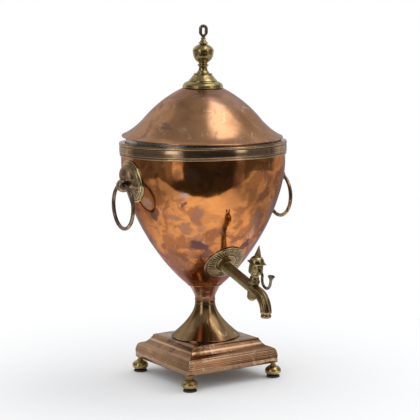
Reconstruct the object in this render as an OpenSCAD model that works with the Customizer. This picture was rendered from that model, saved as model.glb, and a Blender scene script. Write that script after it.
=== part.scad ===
// Copper and brass tea urn: a vase-shaped bowl on a square footed plinth, with a lift-off lid,
// two ring handles hung in masks, a plug tap on a sloping arm and an iron heater inside.
// The urn's axis is Z, the tap points to -Y, and the floor is z = 0. All sizes are in mm.

/* [Feet] */
// Height from the floor to the plinth's lower edge
foot_h = 21.5; // [19:0.5:26]
// Distance from the plinth's face in to the middle of a foot
foot_inset = 5; // [5:0.1:10]
// Radius of the flattened ball
foot_ball_r = 11.7; // [9:0.1:13]
// Radius of the neck under the plinth
foot_neck_r = 3.6; // [3:0.1:4]
// Radius of the stud above each foot
foot_stud_r = 2; // [1.6:0.1:2.4]
// Radius of the dark pad under each foot
pad_r = 9.6; // [7:0.1:10.5]
// Thickness of the pad
pad_h = 2.5; // [1.5:0.1:3]

/* [Plinth] */
// Width of the square skirt
plinth_w = 149; // [147:0.5:160]
// Height of the plinth
plinth_h = 35.1; // [33:0.1:40]
// How far the flat top is set in from the skirt
plinth_inset = 21.4; // [20:0.1:24]
// Height of the plain upright band at the bottom
skirt_h = 8.8; // [7:0.1:10]
// Height and radius of one of the three fine beads above it
skirt_bead_h = 2.4; // [2:0.1:2.6]
// Thickness of the plinth's sheet copper
plinth_sheet = 1.2; // [0.8:0.1:1.6]
// Turn of the plinth and stem on the tie rod, in degrees
base_turn = 3; // [-10:0.5:10]
// Side of the square plates that hold the feet
corner_plate_w = 26; // [22:0.5:30]
// Thickness of those plates
corner_plate_t = 3; // [2:0.5:4]

/* [Stem] */
// Height of the brass stem
stem_h = 51.8; // [46:0.1:58]
// Radius of the stem's waist
stem_r = 14.5; // [12.5:0.1:16]
// Width of the flat top left round the stem's foot
stem_margin = 4; // [2:0.1:8]
// Wall of the stem
stem_wall = 2.2; // [1.6:0.1:3]
// Height of the copper neck above the stem
neck_h = 25.1; // [22:0.1:30]
// Radius of the neck where it meets the bowl
neck_top_r = 24.8; // [22:0.1:26]
// Wall of the neck
neck_wall = 1.6; // [1.2:0.1:2.4]
// Radius of the tie rod
tie_r = 4; // [3:0.1:5]

/* [Bowl] */
// Greatest radius of the bowl
bowl_r = 116.2; // [110:0.2:122]
// Height from the flat bottom to where the wall stands upright
bowl_belly = 175; // [165:0.5:190]
// Height of the upright wall above that
bowl_neck = 26.8; // [24:0.1:34]
// Depth of the cut-off point below the bottom
bowl_tip = 17; // [14:0.5:20]
// Swell of the lower bowl
swell_a = 1.668; // [1.5:0.01:1.9]
// Fullness of the curve
swell_b = 0.752; // [0.7:0.005:0.85]
// Wall of the bowl, measured level
bowl_wall = 1.8; // [1.2:0.1:2.4]
// Height of the moulded band round the mouth
band_h = 18.9; // [18:0.1:24]
// How far the band stands out from the bowl
band_out = 2.5; // [2.2:0.1:3.2]
// Width of the flat ledge on top, which carries the lid
ledge_w = 8.2; // [7:0.1:10]
// Thickness of the ledge
ledge_t = 1.4; // [1:0.1:2]

/* [Lid] */
// How far the lid's rim is set in from the bowl's radius
lid_inset = 2.2; // [1:0.1:4]
// How far the lid has been put down askew, in degrees
lid_tilt = 2.75; // [0:0.25:3]
// Width of the sloping brim round the dome
brim_w = 30; // [26:0.5:34]
// Radius of the arc that draws the dome's flank, over the radius of the dome's edge
dome_swell = 1.976; // [1.8:0.001:2.3]
// Slope that the flank would reach at the axis, in degrees (0 makes it a part of a sphere)
dome_lean = 15.7; // [5:0.1:25]
// Height of the dome's edge above the rim
dome_edge_h = 24.4; // [20:0.1:28]
// Sheet of the lid
lid_sheet = 1.1; // [0.8:0.1:1.5]
// Depth of the ring that drops into the mouth
bezel_h = 10.7; // [8:0.1:12]
// Gap between that ring and the mouth
bezel_gap = 2.3; // [2.2:0.1:3]

/* [Finial] */
// Radius of the moulded cap
cap_r = 28.8; // [25:0.2:31]
// Height of the cap
cap_h = 20.5; // [19:0.1:23]
// Radius of the turned ball
ball_r = 15.1; // [12.5:0.1:17]
// Height of the turned spindle, ball and all
spindle_h = 47.5; // [44:0.5:50]
// Radius of the finial's stud
finial_stud_r = 3; // [2.4:0.1:3.4]
// Radius of the wire of the eye on top
eye_wire_r = 2.3; // [2:0.1:2.6]
// Half the width of the eye, to the middle of its wire
eye_half = 4; // [3.6:0.1:4.4]
// Straight height of the eye's sides
eye_side = 5.7; // [4:0.1:7]
// Turn of the eye, in degrees
eye_turn = -30; // [-90:1:90]

/* [Handles] */
// Gap from the band down to the handle plates
handle_gap = 1.6; // [1.2:0.1:8]
// Radius of the stepped back plate
plate_r = 30; // [25:0.5:31]
// Radius of the mask on the plate
mask_r = 23.5; // [20:0.5:24]
// How far the ring's hinge line stands off the bowl
ring_stand = 12.8; // [12:0.1:14]
// How far the hinge line lies below the plate's centre
ring_drop = 3; // [2:0.1:5]
// Radius of the ring, to the middle of its wire
ring_r = 31; // [28:0.5:34]
// Radius of the ring's wire
ring_wire_r = 2.7; // [2.2:0.1:3]
// Radius of the muzzle that holds the ring
muzzle_r = 9.2; // [8.8:0.1:10]
// Half the width of the muzzle
muzzle_half = 6.5; // [5.5:0.1:7.5]
// Radius of the stud that holds each handle
handle_stud_r = 2.5; // [2:0.1:3]

/* [Tap] */
// Height of the tap's arm above the bowl's bottom, at the wall
tap_up = 33.4; // [30:0.2:40]
// Downward slope of the arm, in degrees
tap_tilt = 15.5; // [12:0.5:20]
// Length of the arm, from the wall to the plug's axis
arm_len = 78.7; // [72:0.1:88]
// Radius of the eight-sided arm, to its corners
arm_r = 8; // [7.4:0.1:8.6]
// Radius of the water way
water_r = 2.8; // [2:0.1:2.9]
// Radius of the threaded tail inside the bowl
tail_r = 6; // [5.4:0.1:6.4]
// Radius of the fluted back plate
rosette_r = 29; // [26:0.5:31]
// Thickness of the back plate, measured level
rosette_t = 2; // [1.6:0.1:2.6]
// How far the back plate's centre lies above the arm
rosette_rise = 4; // [2:0.5:6]
// Length of the plug's barrel below the arm
barrel_down = 14; // [13:0.1:16]
// Length of the plug's barrel above the arm
barrel_up = 15; // [14:0.1:17]
// Radius of the barrel
barrel_r = 7.9; // [7.6:0.1:8.6]
// Radius of the plug at the barrel's lower end
plug_low_r = 4; // [3.7:0.1:4.2]
// Radius of the plug at the barrel's upper end
plug_top_r = 5.3; // [5:0.1:5.6]
// Radius of the bend of the spout
spout_bend = 24; // [22:0.5:28]
// Radius of the eight-sided spout, to its corners
spout_r = 6.9; // [6.2:0.1:7.2]
// Radius of the turned key
key_r = 9.7; // [9:0.1:10.5]
// Radius of the bend of the key's lever
lever_bend = 10.5; // [9:0.5:11.5]
// Radius of the lever's wire
lever_r = 1.9; // [1.5:0.1:2.1]

/* [Heater] */
// Radius of the tube that holds the hot iron
sleeve_r = 34; // [31:0.5:36]
// Wall of the tube
sleeve_wall = 1.5; // [1:0.1:2]
// Gap from the tube's top down to the ledge round the mouth
sleeve_below = 14; // [10:0.5:20]
// Gap between the iron and the tube
slug_gap = 3.5; // [2:0.1:5]
// Height of the iron
slug_h = 120; // [100:1:128]

/* [Hidden] */
$fn = 96;
foot_pitch = plinth_w - 2 * foot_inset;
stem_foot_r = plinth_w / 2 - plinth_inset - stem_margin;
lid_r = bowl_r - lid_inset;
dome_edge_r = lid_r - brim_w;
dome_r = dome_edge_r * dome_swell;
dome_off = dome_r * sin(dome_lean);     // how far beyond the axis the flank's arc is centred
seat = 0.3;         // gap between pieces that rest on each other
run = 0.05;         // radial running clearance of the plug
slip = 0.2;         // radial clearance of studs and rods in plain holes
steps = 18;         // straight stretches in a long curve

copper = [0.72, 0.42, 0.26];
brown_copper = [0.52, 0.32, 0.24];
brass = [0.66, 0.55, 0.30];
old_brass = [0.50, 0.42, 0.26];
bronze = [0.45, 0.33, 0.22];
ring_brown = [0.36, 0.31, 0.26];
tin = [0.62, 0.63, 0.62];
iron = [0.23, 0.22, 0.21];
black = [0.06, 0.06, 0.06];
leather = [0.30, 0.20, 0.13];

// Heights of the stacked pieces
z_stem = foot_h + plinth_h;
z_neck = z_stem + stem_h;
z_bowl = z_neck + neck_h + seat;
z_top = z_bowl + bowl_belly + bowl_neck + seat + ledge_t;
mouth_r = bowl_r + band_out - ledge_w;
handle_up = z_top - band_h - z_bowl - plate_r - handle_gap;

// The bowl's outline: its radius at a height above its bottom, the height at a radius,
// and how fast the radius grows with height
bowl_span = bowl_belly + bowl_tip;
function bowl_at(y) =
    bowl_r * pow(1 - pow(1 - min(1, (y + bowl_tip) / bowl_span), swell_a), swell_b);
function bowl_up(r) =
    (1 - pow(1 - pow(r / bowl_r, 1 / swell_b), 1 / swell_a)) * bowl_span - bowl_tip;
function bowl_grow(y) = bowl_at(y + 0.5) - bowl_at(y - 0.5);

// Points between two values, and points of an arc
function spread(a, b, n) = [for (i = [0 : n]) a + (b - a) * i / n];
function arc(cx, cy, rx, ry, a0, a1, n) =
    [for (a = spread(a0, a1, n)) [cx + rx * cos(a), cy + ry * sin(a)]];
function flip(list) = [for (i = [len(list) - 1 : -1 : 0]) list[i]];

module ring(r_out, r_in, h) {
    difference() {
        cylinder(r = r_out, h = h);
        translate([0, 0, -1]) cylinder(r = r_in, h = h + 2);
    }
}

// A square nut: half its width across the flats, its bore and its height
module nut(half, bore, h) {
    difference() {
        translate([-half, -half, 0]) cube([2 * half, 2 * half, h]);
        translate([0, 0, -1]) cylinder(r = bore, h = h + 2);
    }
}

module base_place() { rotate([0, 0, base_turn]) children(); }

module at_feet() {
    for (sx = [-1, 1], sy = [-1, 1])
        translate([sx * foot_pitch / 2, sy * foot_pitch / 2, 0]) children();
}

// ---- plinth ----

cove_from = 8.2;        // inset at which the hollow curve begins
cove_lip = 2.3;         // width of the small lip round the flat top
bead_z = skirt_h + 3 * skirt_bead_h;
cove_z = bead_z + 5.5;

// Half of the plinth's outline, as [inset, height], from the skirt's foot to the top
function plinth_side() = concat(
    [[0, 0], [0, skirt_h]],
    [for (b = [0 : 2]) each arc(1.1 + 0.4 * b, skirt_h + (b + 0.5) * skirt_bead_h,
                                -0.8, skirt_bead_h / 2, -75, 75, 4)],
    [for (a = spread(15, 90, 5)) [cove_from * (1 - cos(a)) + 1.6 * cos(a),
                                  bead_z + (cove_z - bead_z) * sin(a)]],
    [for (u = spread(0.2, 1, 6)) [cove_from + (plinth_inset - cove_lip - cove_from) * u,
        cove_z + (plinth_h - 2 - cove_z) * (0.35 * u + 0.65 * u * u)]],
    [[plinth_inset - cove_lip, plinth_h - 1.2], [plinth_inset - 0.4, plinth_h - 1.2],
     [plinth_inset, plinth_h]]);

// The same, one sheet further in, without the beads
function plinth_inner() = concat(
    [[plinth_sheet, -1], [plinth_sheet, skirt_h]],
    [for (a = spread(15, 90, 4)) [plinth_sheet + cove_from * (1 - cos(a)) + 2.6 * cos(a),
                                  bead_z - plinth_sheet + (cove_z - bead_z) * sin(a)]],
    [for (u = spread(0.25, 1, 4)) [plinth_sheet + cove_from + (plinth_inset - cove_lip - cove_from) * u,
        cove_z - plinth_sheet + (plinth_h - 2 - cove_z) * (0.35 * u + 0.65 * u * u)]],
    [[plinth_inset + plinth_sheet, plinth_h - 1.2 - plinth_sheet]]);

module square_moulding(side) {
    half = plinth_w / 2;
    outline = concat([for (p = side) [half - p[0], p[1]]],
                     [for (p = flip(side)) [p[0] - half, p[1]]]);
    intersection() {
        rotate([90, 0, 0]) linear_extrude(height = 2 * plinth_w, center = true) polygon(outline);
        rotate([90, 0, 90]) linear_extrude(height = 2 * plinth_w, center = true) polygon(outline);
    }
}

module plinth_shell() {
    color(brown_copper) base_place() translate([0, 0, foot_h]) difference() {
        square_moulding(plinth_side());
        square_moulding(plinth_inner());
        translate([0, 0, plinth_h / 2]) cylinder(r = tie_r + slip, h = plinth_h);
    }
}

module corner_plates() {
    corner = plinth_w / 2 - plinth_sheet - seat;
    color(old_brass) base_place() translate([0, 0, foot_h]) difference() {
        for (sx = [-1, 1], sy = [-1, 1])
            translate([sx * (corner - corner_plate_w / 2), sy * (corner - corner_plate_w / 2),
                       corner_plate_t / 2])
                cube([corner_plate_w, corner_plate_w, corner_plate_t], center = true);
        at_feet() translate([0, 0, -1]) cylinder(r = foot_stud_r + slip, h = corner_plate_t + 2);
    }
}

// ---- feet ----

nut_h = 3.2;
foot_nut_half = foot_stud_r * 1.55;

module foot(sx, sy) {
    ball_mid = pad_h + 6.9;
    ball_half = 7.6;
    neck_z = ball_mid + 6.8;
    color(brass) base_place() translate([sx * foot_pitch / 2, sy * foot_pitch / 2, 0]) {
        rotate_extrude() polygon(concat(
            [[0, pad_h]],
            [for (z = spread(pad_h, neck_z, 14))
                [foot_ball_r * sqrt(1 - pow((z - ball_mid) / ball_half, 2)), z]],
            arc(foot_neck_r, neck_z + 0.9, 1, 0.9, -80, 80, 4),
            [[foot_neck_r - 0.4, neck_z + 2.4], [foot_neck_r - 0.1, foot_h - 1.6],
             [foot_neck_r + 0.7, foot_h - 1], [foot_neck_r + 0.7, foot_h], [0, foot_h]]));
        translate([0, 0, foot_h - 1])
            cylinder(r = foot_stud_r, h = 1 + corner_plate_t + nut_h + 2);
    }
}
module foot_front_left() { foot(-1, -1); }
module foot_front_right() { foot(1, -1); }
module foot_rear_left() { foot(-1, 1); }
module foot_rear_right() { foot(1, 1); }

module foot_pads() {
    color(black) base_place() at_feet() cylinder(r = pad_r, h = pad_h);
}

module foot_nuts() {
    color(brass) base_place() at_feet() translate([0, 0, foot_h + corner_plate_t])
        nut(foot_nut_half, foot_stud_r + run, nut_h);
}

// ---- stem and neck ----

stem_edge = 2;          // upright edge of the stem's foot
stem_waist = 3.4;       // upright length at the stem's top
function stem_out(y) = y > stem_h - stem_waist ? stem_r : stem_r + (stem_foot_r - stem_r)
    * pow((stem_h - stem_waist - y) / (stem_h - stem_waist - stem_edge), 1.7);

module stem() {
    solid_top = 12;     // solid length at the top, drilled for the rod
    hollow_h = stem_h - solid_top;
    color(bronze) base_place() translate([0, 0, z_stem]) difference() {
        rotate_extrude() polygon(concat(
            [[0, 0], [stem_foot_r, 0]],
            [for (y = spread(stem_edge, stem_h - stem_waist, steps)) [stem_out(y), y]],
            [[stem_r, stem_h - 0.8], [stem_r - 0.4, stem_h - seat], [0, stem_h - seat]]));
        rotate_extrude() polygon(concat(
            [[0, -1], [stem_foot_r - stem_wall, -1]],
            [for (y = spread(0, hollow_h, 12))
                [max(tie_r + 1, stem_out(y + stem_wall) - stem_wall), y]],
            [[0, hollow_h]]));
        cylinder(r = tie_r + slip, h = stem_h + 1);
    }
}

neck_plain = 5.6;       // straight length of the neck before it flares
neck_bead_r = 1.1;
function neck_out(y) = y < neck_plain ? stem_r
    : stem_r + (neck_top_r - stem_r) * pow((y - neck_plain) / (neck_h - neck_plain), 1.3);

module bowl_neck_ring() {
    color(brown_copper) base_place() translate([0, 0, z_neck]) difference() {
        rotate_extrude() polygon(concat(
            [[0, 0], [stem_r, 0]],
            [for (y = spread(neck_plain, neck_h - 2 * neck_bead_r, 12)) [neck_out(y), y]],
            arc(neck_top_r - 0.4, neck_h - neck_bead_r, neck_bead_r, neck_bead_r, -70, 90, 6),
            [[0, neck_h]]));
        rotate_extrude() polygon(concat(
            [[0, 2], [stem_r - neck_wall, 2]],
            [for (y = spread(neck_plain, neck_h, 8)) [neck_out(y) - neck_wall, y]],
            [[neck_top_r - neck_wall, neck_h + 1], [0, neck_h + 1]]));
        translate([0, 0, -1]) cylinder(r = tie_r + slip, h = 4);
    }
}

tie_plate_t = 2.5;
tie_nut_h = 6;
tie_plate_z = z_stem - 1.2 - plinth_sheet - tie_plate_t - seat;
boss_h = 5;

module tie_rod() {
    low = tie_plate_z - tie_nut_h - 2;
    color(iron) translate([0, 0, low])
        cylinder(r = tie_r, h = z_bowl + bowl_wall + boss_h - 1 - low);
}

module tie_washer() {
    color(iron) translate([0, 0, tie_plate_z]) ring(5 * tie_r, tie_r + slip, tie_plate_t);
}

module tie_nut() {
    color(iron) translate([0, 0, tie_plate_z - tie_nut_h]) nut(1.8 * tie_r, tie_r + run, tie_nut_h);
}

module base_boss() {
    color(brass) translate([0, 0, z_bowl + bowl_wall]) difference() {
        cylinder(r1 = 3.6 * tie_r, r2 = 3.2 * tie_r, h = boss_h);
        translate([0, 0, -1]) cylinder(r = tie_r + run, h = boss_h);
    }
}

// ---- bowl ----

// Places things at the handles: side is -1 or 1, and +X points outwards
module handle_place(side) {
    translate([0, 0, z_bowl + handle_up]) mirror([side < 0 ? 1 : 0, 0, 0]) children();
}
handle_wall = bowl_at(handle_up);

// Places things on the tap: -Y points out along the arm, and the origin is on the bowl's wall
tap_wall = bowl_at(tap_up);
module tap_place() {
    translate([0, -tap_wall, z_bowl + tap_up]) rotate([tap_tilt, 0, 0]) children();
}

// A skin on the bowl from radius lo to hi outside it, between two heights
module wall_skin(lo, hi, low, high) {
    translate([0, 0, z_bowl]) rotate_extrude() polygon(concat(
        [for (y = spread(low, high, steps)) [bowl_at(y) + hi, y]],
        [for (y = spread(high, low, steps)) [bowl_at(y) + lo, y]]));
}

// Everything nearer the axis than the bowl's outside plus lo, between two heights
module wall_core(lo, low, high, strips) {
    translate([0, 0, z_bowl]) rotate_extrude() polygon(concat(
        [[0, low]],
        [for (y = spread(low, high, strips)) [bowl_at(y) + lo, y]],
        [[0, high]]));
}

module bowl_shell() {
    top = bowl_belly + bowl_neck;
    color(copper) difference() {
        translate([0, 0, z_bowl]) difference() {
            rotate_extrude() polygon(concat(
                [[0, 0]],
                [for (y = spread(0, bowl_belly, 2 * steps)) [bowl_at(y), y]],
                [[bowl_r, top], [0, top]]));
            rotate_extrude() polygon(concat(
                [[0, bowl_wall]],
                [for (y = spread(bowl_wall, bowl_belly, 2 * steps)) [bowl_at(y) - bowl_wall, y]],
                [[bowl_r - bowl_wall, top + 1], [0, top + 1]]));
            translate([0, 0, -1]) cylinder(r = tie_r + slip, h = bowl_wall + 2);
        }
        for (side = [-1, 1]) handle_place(side) translate([handle_wall - 10, 0, 0])
            rotate([0, 90, 0]) cylinder(r = handle_stud_r + slip, h = 20);
        tap_place() rotate([90, 0, 0])
            cylinder(r = tail_r + slip, h = 24, center = true);
    }
}

module rim_band() {
    inner = bowl_r + seat;
    face = bowl_r + band_out;
    bottom = z_top - band_h;
    color(bronze) rotate_extrude() polygon(concat(
        [[inner, bottom]],
        arc(inner + 0.4, bottom + 1.1, 1.1, 1.1, -90, 80, 6),
        [[inner + 0.7, bottom + 2.9], [face - 0.9, bottom + 3.4]],
        arc(face - 0.9, bottom + 4.4, 0.7, 1, -90, 90, 5),
        [[face - 0.9, bottom + 5.9], [face - 0.5, bottom + 6.3], [face - 0.3, bottom + 10.5],
         [face - 0.5, z_top - 5.4], [face - 1.2, z_top - 5], [face - 1.2, z_top - 4.3]],
        arc(face - 1, z_top - 2.8, 1, 1.4, -80, 80, 6),
        [[face - 0.9, z_top - 0.6], [face - 0.3, z_top], [mouth_r, z_top],
         [mouth_r, z_top - ledge_t], [inner, z_top - ledge_t]]));
}

// ---- heater ----

sleeve_low = max(bowl_up(sleeve_r + bowl_wall + seat), bowl_wall + boss_h + seat);
z_sleeve = z_bowl + sleeve_low;
z_sleeve_top = z_top - sleeve_below;
slug_r = sleeve_r - sleeve_wall - slug_gap;
z_slug = z_sleeve + sleeve_wall;
eye_stem_h = 8;
iron_stem_r = 3;
iron_eye_r = 8;
iron_eye_wire = 2.5;
iron_hole_h = 12;

module heater_sleeve() {
    color(tin) translate([0, 0, z_sleeve]) difference() {
        cylinder(r = sleeve_r, h = z_sleeve_top - z_sleeve);
        translate([0, 0, sleeve_wall])
            cylinder(r = sleeve_r - sleeve_wall, h = z_sleeve_top - z_sleeve);
    }
}

module heater_iron() {
    edge = 3;
    color(iron) translate([0, 0, z_slug]) difference() {
        union() {
            cylinder(r1 = slug_r - edge, r2 = slug_r, h = edge);
            translate([0, 0, edge]) cylinder(r = slug_r, h = slug_h - 2 * edge);
            translate([0, 0, slug_h - edge]) cylinder(r1 = slug_r, r2 = slug_r - edge, h = edge);
        }
        translate([0, 0, slug_h - iron_hole_h])
            cylinder(r = iron_stem_r + run, h = iron_hole_h + 1);
    }
}

module iron_eye() {
    color(iron) translate([0, 0, z_slug + slug_h]) {
        translate([0, 0, 1 - iron_hole_h])
            cylinder(r = iron_stem_r, h = iron_hole_h - 1 + eye_stem_h - iron_eye_wire);
        translate([0, 0, eye_stem_h + iron_eye_r - iron_stem_r]) rotate([90, 0, 0])
            rotate_extrude() translate([iron_eye_r, 0]) circle(r = iron_eye_wire);
    }
}

cover_lip = 1.2;        // thickness of the lip that drops into the tube
cover_rim = 1.6;        // thickness of the cover's rim
cover_rise = 2.4;       // rise of its sloping top
knob_r = 4.4;
knob_pin_r = 2;

module sleeve_cover() {
    inner = sleeve_r - sleeve_wall - seat;
    color(tin) translate([0, 0, z_sleeve_top + seat]) difference() {
        union() {
            cylinder(r1 = sleeve_r + 2, r2 = sleeve_r + 1, h = cover_rim);
            translate([0, 0, cover_rim])
                cylinder(r1 = sleeve_r - 2, r2 = knob_r + 1.6, h = cover_rise);
            translate([0, 0, -5]) ring(inner, inner - cover_lip, 5.5);
        }
        translate([0, 0, -1]) cylinder(r = knob_pin_r + run, h = cover_rim + cover_rise + 2);
    }
}

module cover_knob() {
    color(brass) translate([0, 0, z_sleeve_top + seat + cover_rim + cover_rise])
        rotate_extrude() polygon(concat(
            [[0, -5], [knob_pin_r, -5], [knob_pin_r, 0], [knob_r - 0.9, 0], [knob_r - 1.8, 1.2]],
            arc(0, 3.4, knob_r, 2.4, -50, 90, 8)));
}

// ---- lid ----

lid_low = lid_r * sin(lid_tilt);
lid_shift = 1.4;       // how far the lid has been put down towards the rear
module lid_place() {
    translate([0, lid_shift, z_top + seat + lid_low]) rotate([lid_tilt, 0, 0]) children();
}

function dome_a(r) = asin((r + dome_off) / dome_r);     // where the arc passes a radius
dome_mid = dome_edge_h - dome_r * cos(dome_a(dome_edge_r));
dome_seat_r = cap_r - 3;        // radius of the flat seat under the finial's cap
dome_top = dome_mid + dome_r * cos(dome_a(dome_seat_r));
function dome_flank(from, t, count) =
    [for (a = spread(dome_a(from), dome_a(dome_seat_r), count))
        [(dome_r - t) * sin(a) - dome_off, dome_mid + (dome_r - t) * cos(a)]];
brim_r = lid_r - 0.8;
brim_h = 2;
brim_run = brim_r - dome_edge_r;
brim_rise = dome_edge_h - brim_h;
function brim_up(u) = brim_h + brim_rise * (0.6 * u + 0.4 * u * u);
function brim_angle(u) = atan(brim_rise / brim_run * (0.6 + 0.8 * u));

// The lid's outline from rim to top, moved in by t, as [radius, height above the rim]
function lid_curve(t) = concat(
    [for (u = spread(0, 0.94, 12))
        [brim_r - u * brim_run - t * sin(brim_angle(u)), brim_up(u) - t * cos(brim_angle(u))]],
    dome_flank(dome_edge_r, t, steps), [[finial_stud_r + slip, dome_top - t]]);

module lid_shell() {
    color(copper) lid_place() difference() {
        rotate_extrude() polygon(concat(
            arc(lid_r - 1.1, 1.1, 1.1, 1.1, -90, 60, 6), lid_curve(0), flip(lid_curve(lid_sheet))));
        translate([0, 0, dome_top - 10]) cylinder(r = finial_stud_r + slip, h = 20);
    }
}

bezel_r = mouth_r - bezel_gap;
module lid_bezel() {
    u = (brim_r - bezel_r) / brim_run;
    color(tin) lid_place() translate([0, 0, -bezel_h])
        ring(bezel_r, bezel_r - 1, bezel_h + brim_up(u) - lid_sheet / cos(brim_angle(u)) - seat);
}

// ---- finial ----

h_cap = dome_mid + dome_r * cos(dome_a(cap_r)) + seat;
h_spindle = h_cap + cap_h;
h_eye = h_spindle + spindle_h;
stud_top = 30;          // how far the stud reaches up into the spindle

module finial_cap() {
    color(brass) lid_place() difference() {
        translate([0, 0, h_cap]) rotate_extrude() polygon(concat(
            [[0, 0], [cap_r - 0.6, 0], [cap_r, 0.5], [cap_r, 1.6]],
            arc(cap_r - 9.2, 1.9, 8.8, 7.1, 8, 70, 8),
            [[cap_r - 6.6, 9], [cap_r - 8.8, 9.2], [cap_r - 8.8, 10.8], [cap_r - 9.6, 11.4],
             [cap_r - 12, 13.8], [cap_r - 14.6, 17], [cap_r - 15.8, cap_h - 2]],
            arc(cap_r - 16.4, cap_h - 0.9, 0.7, 0.9, -80, 90, 4),
            [[0, cap_h]]));
        rotate_extrude() polygon(concat([[cap_r + 2, h_cap - 9]], dome_flank(cap_r + 2, -slip, 6),
            [[0, dome_top + slip], [0, h_cap - 9]]));
        translate([0, 0, h_cap - 10]) cylinder(r = finial_stud_r + run, h = cap_h + 11);
    }
}

module finial_spindle() {
    ball_z = 30.3;      // height of the ball's girdle
    color(brass) lid_place() translate([0, 0, h_spindle + run]) difference() {
        rotate_extrude() polygon(concat(
            [[0, 0], [8.9, 0], [8.9, 1.5], [7.3, 2.6], [6, 4.6], [5.6, 6.6], [6, 9.2]],
            arc(6.2, 11.4, 1.8, 1.2, -80, 80, 5),
            [[5.7, 13.2], [6.2, 14.3]],
            [for (a = spread(-63, -6, 9)) [ball_r * cos(a) - 0.4, ball_z + 17.5 * sin(a)]],
            [[ball_r - 0.7, ball_z - 1], [ball_r - 0.1, ball_z - 0.4]],
            [for (a = spread(4, 68, 9)) [ball_r * cos(a), ball_z + 10.6 * sin(a)]],
            [[4.6, 40.4], [4.6, 40.9], [6.9, 41.6], [6.9, 42.3], [4.6, 43.8], [3.2, spindle_h - 0.6],
             [2.6, spindle_h], [0, spindle_h]]));
        translate([0, 0, -1]) cylinder(r = finial_stud_r + run, h = stud_top + 2);
    }
}

eye_foot = 4.7;         // height of the eye's turned foot

module finial_eye() {
    low = eye_foot + eye_half - 0.4;
    color(old_brass) lid_place() translate([0, 0, h_eye + 2 * run]) rotate([0, 0, eye_turn]) {
        rotate_extrude() polygon([[0, 0], [3.2, 0], [3.4, 0.8], [2.6, 1.8], [2.2, 3.4],
            [2.2, eye_foot], [0, eye_foot]]);
        for (up = [0, 1]) translate([0, 0, low + up * eye_side]) rotate([90, up ? 0 : 180, 0])
            rotate_extrude(angle = 180) translate([eye_half, 0]) circle(r = eye_wire_r);
        for (side = [-1, 1])
            translate([side * eye_half, 0, low]) cylinder(r = eye_wire_r, h = eye_side);
    }
}

finial_washer_t = 1.2;
finial_washer_r = 9;
finial_nut_h = 4.2;
dome_in = dome_top - lid_sheet;
module finial_stud() {
    low = dome_in - seat - finial_washer_t - finial_nut_h - 2;
    color(iron) lid_place() translate([0, 0, low])
        cylinder(r = finial_stud_r, h = h_spindle + stud_top - low);
}

module finial_washer() {
    color(iron) lid_place() translate([0, 0, dome_in - seat - finial_washer_t])
        ring(finial_washer_r, finial_stud_r + slip, finial_washer_t);
}

module finial_nut() {
    color(brass) lid_place()
        translate([0, 0, dome_in - seat - finial_washer_t - finial_nut_h])
            nut(finial_stud_r * 1.7, finial_stud_r + run, finial_nut_h);
}

// ---- handles ----

plate_steps = [[0, 2], [2.6, 3], [5, 3.8]];    // inset from the edge, thickness, measured level
plate_top = 3.8;
handle_lean = atan(bowl_grow(handle_up));

module handle_plate(side) {
    color(brass) difference() {
        for (s = plate_steps) intersection() {
            wall_skin(seat, s[1], handle_up - plate_r - 4, handle_up + plate_r + 4);
            handle_place(side) translate([handle_wall, 0, 0]) rotate([0, 90 + handle_lean, 0])
                cylinder(r = plate_r - s[0], h = 2 * plate_r, center = true);
        }
        handle_place(side) rotate([0, 90, 0])
            cylinder(r = handle_stud_r + slip, h = 2 * bowl_r);
    }
}
module handle_plate_left() { handle_plate(-1); }
module handle_plate_right() { handle_plate(1); }

mask_base = handle_wall + plate_top;
mask_rise = 5;
face_r = 18;            // radius of the swelling that makes the face
face_rise = 11.5;       // its height over the plate
face_up = 5;            // height of its middle over the plate's centre
ring_way_half = 16;     // half the width that is cleared for the turning ring

// The muzzle: a short drum across the mask, with eased ends
module muzzle() {
    translate([handle_wall + ring_stand - 0.5, 0, -ring_drop - 2.3]) rotate([90, 0, 0])
        rotate_extrude() polygon([[0, -muzzle_half], [muzzle_r - 1, -muzzle_half],
            [muzzle_r, 1 - muzzle_half], [muzzle_r, muzzle_half - 1],
            [muzzle_r - 1, muzzle_half], [0, muzzle_half]]);
}

module handle_mask(side) {
    dome = (mask_r * mask_r + mask_rise * mask_rise) / (2 * mask_rise);
    color(old_brass) difference() {
        handle_place(side) difference() {
            union() {
                translate([mask_base, 0, 0]) rotate([0, 90, 0]) rotate([0, 0, 90])
                    rotate_extrude() polygon(concat([[0, -8], [mask_r, -8]],
                        [for (r = spread(mask_r, 0, 6))
                            [r, sqrt(dome * dome - r * r) - dome + mask_rise]]));
                translate([mask_base, 0, face_up]) rotate([0, 90, 0]) rotate_extrude()
                    polygon(concat([[0, -2], [face_r, -2]],
                        [for (a = spread(0, 90, 8)) [face_r * cos(a), face_rise * sin(a)]]));
                muzzle();
                translate([mask_base + 1, 0, -16]) rotate([0, 90, 0])
                    cylinder(r1 = 6, r2 = 3.5, h = 4);
            }
            ring_way();
            translate([handle_wall - 5, 0, 0]) rotate([0, 90, 0])
                cylinder(r = handle_stud_r + run, h = 11.2);
        }
        wall_core(plate_top + seat, handle_up - plate_r, handle_up + plate_r, 5);
    }
}
module handle_mask_left() { handle_mask(-1); }
module handle_mask_right() { handle_mask(1); }

// The flared hole that the curved ring turns in, through the muzzle, round at its waist
module ring_way() {
    waist = ring_wire_r + seat;
    far = ring_way_half;
    mouth = waist + ring_r - sqrt(ring_r * ring_r - far * far);
    translate([handle_wall + ring_stand, 0, -ring_drop]) rotate([90, 0, 0]) rotate_extrude()
        polygon([[0, -far], [mouth, -far], [waist, -1], [waist, 1], [mouth, far], [0, far]]);
}

module handle_ring(side) {
    color(ring_brown) handle_place(side) translate([handle_wall + ring_stand, 0, -ring_drop - ring_r])
        rotate([0, 90, 0]) rotate_extrude() translate([ring_r, 0]) circle(r = ring_wire_r);
}
module handle_ring_left() { handle_ring(-1); }
module handle_ring_right() { handle_ring(1); }

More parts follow.
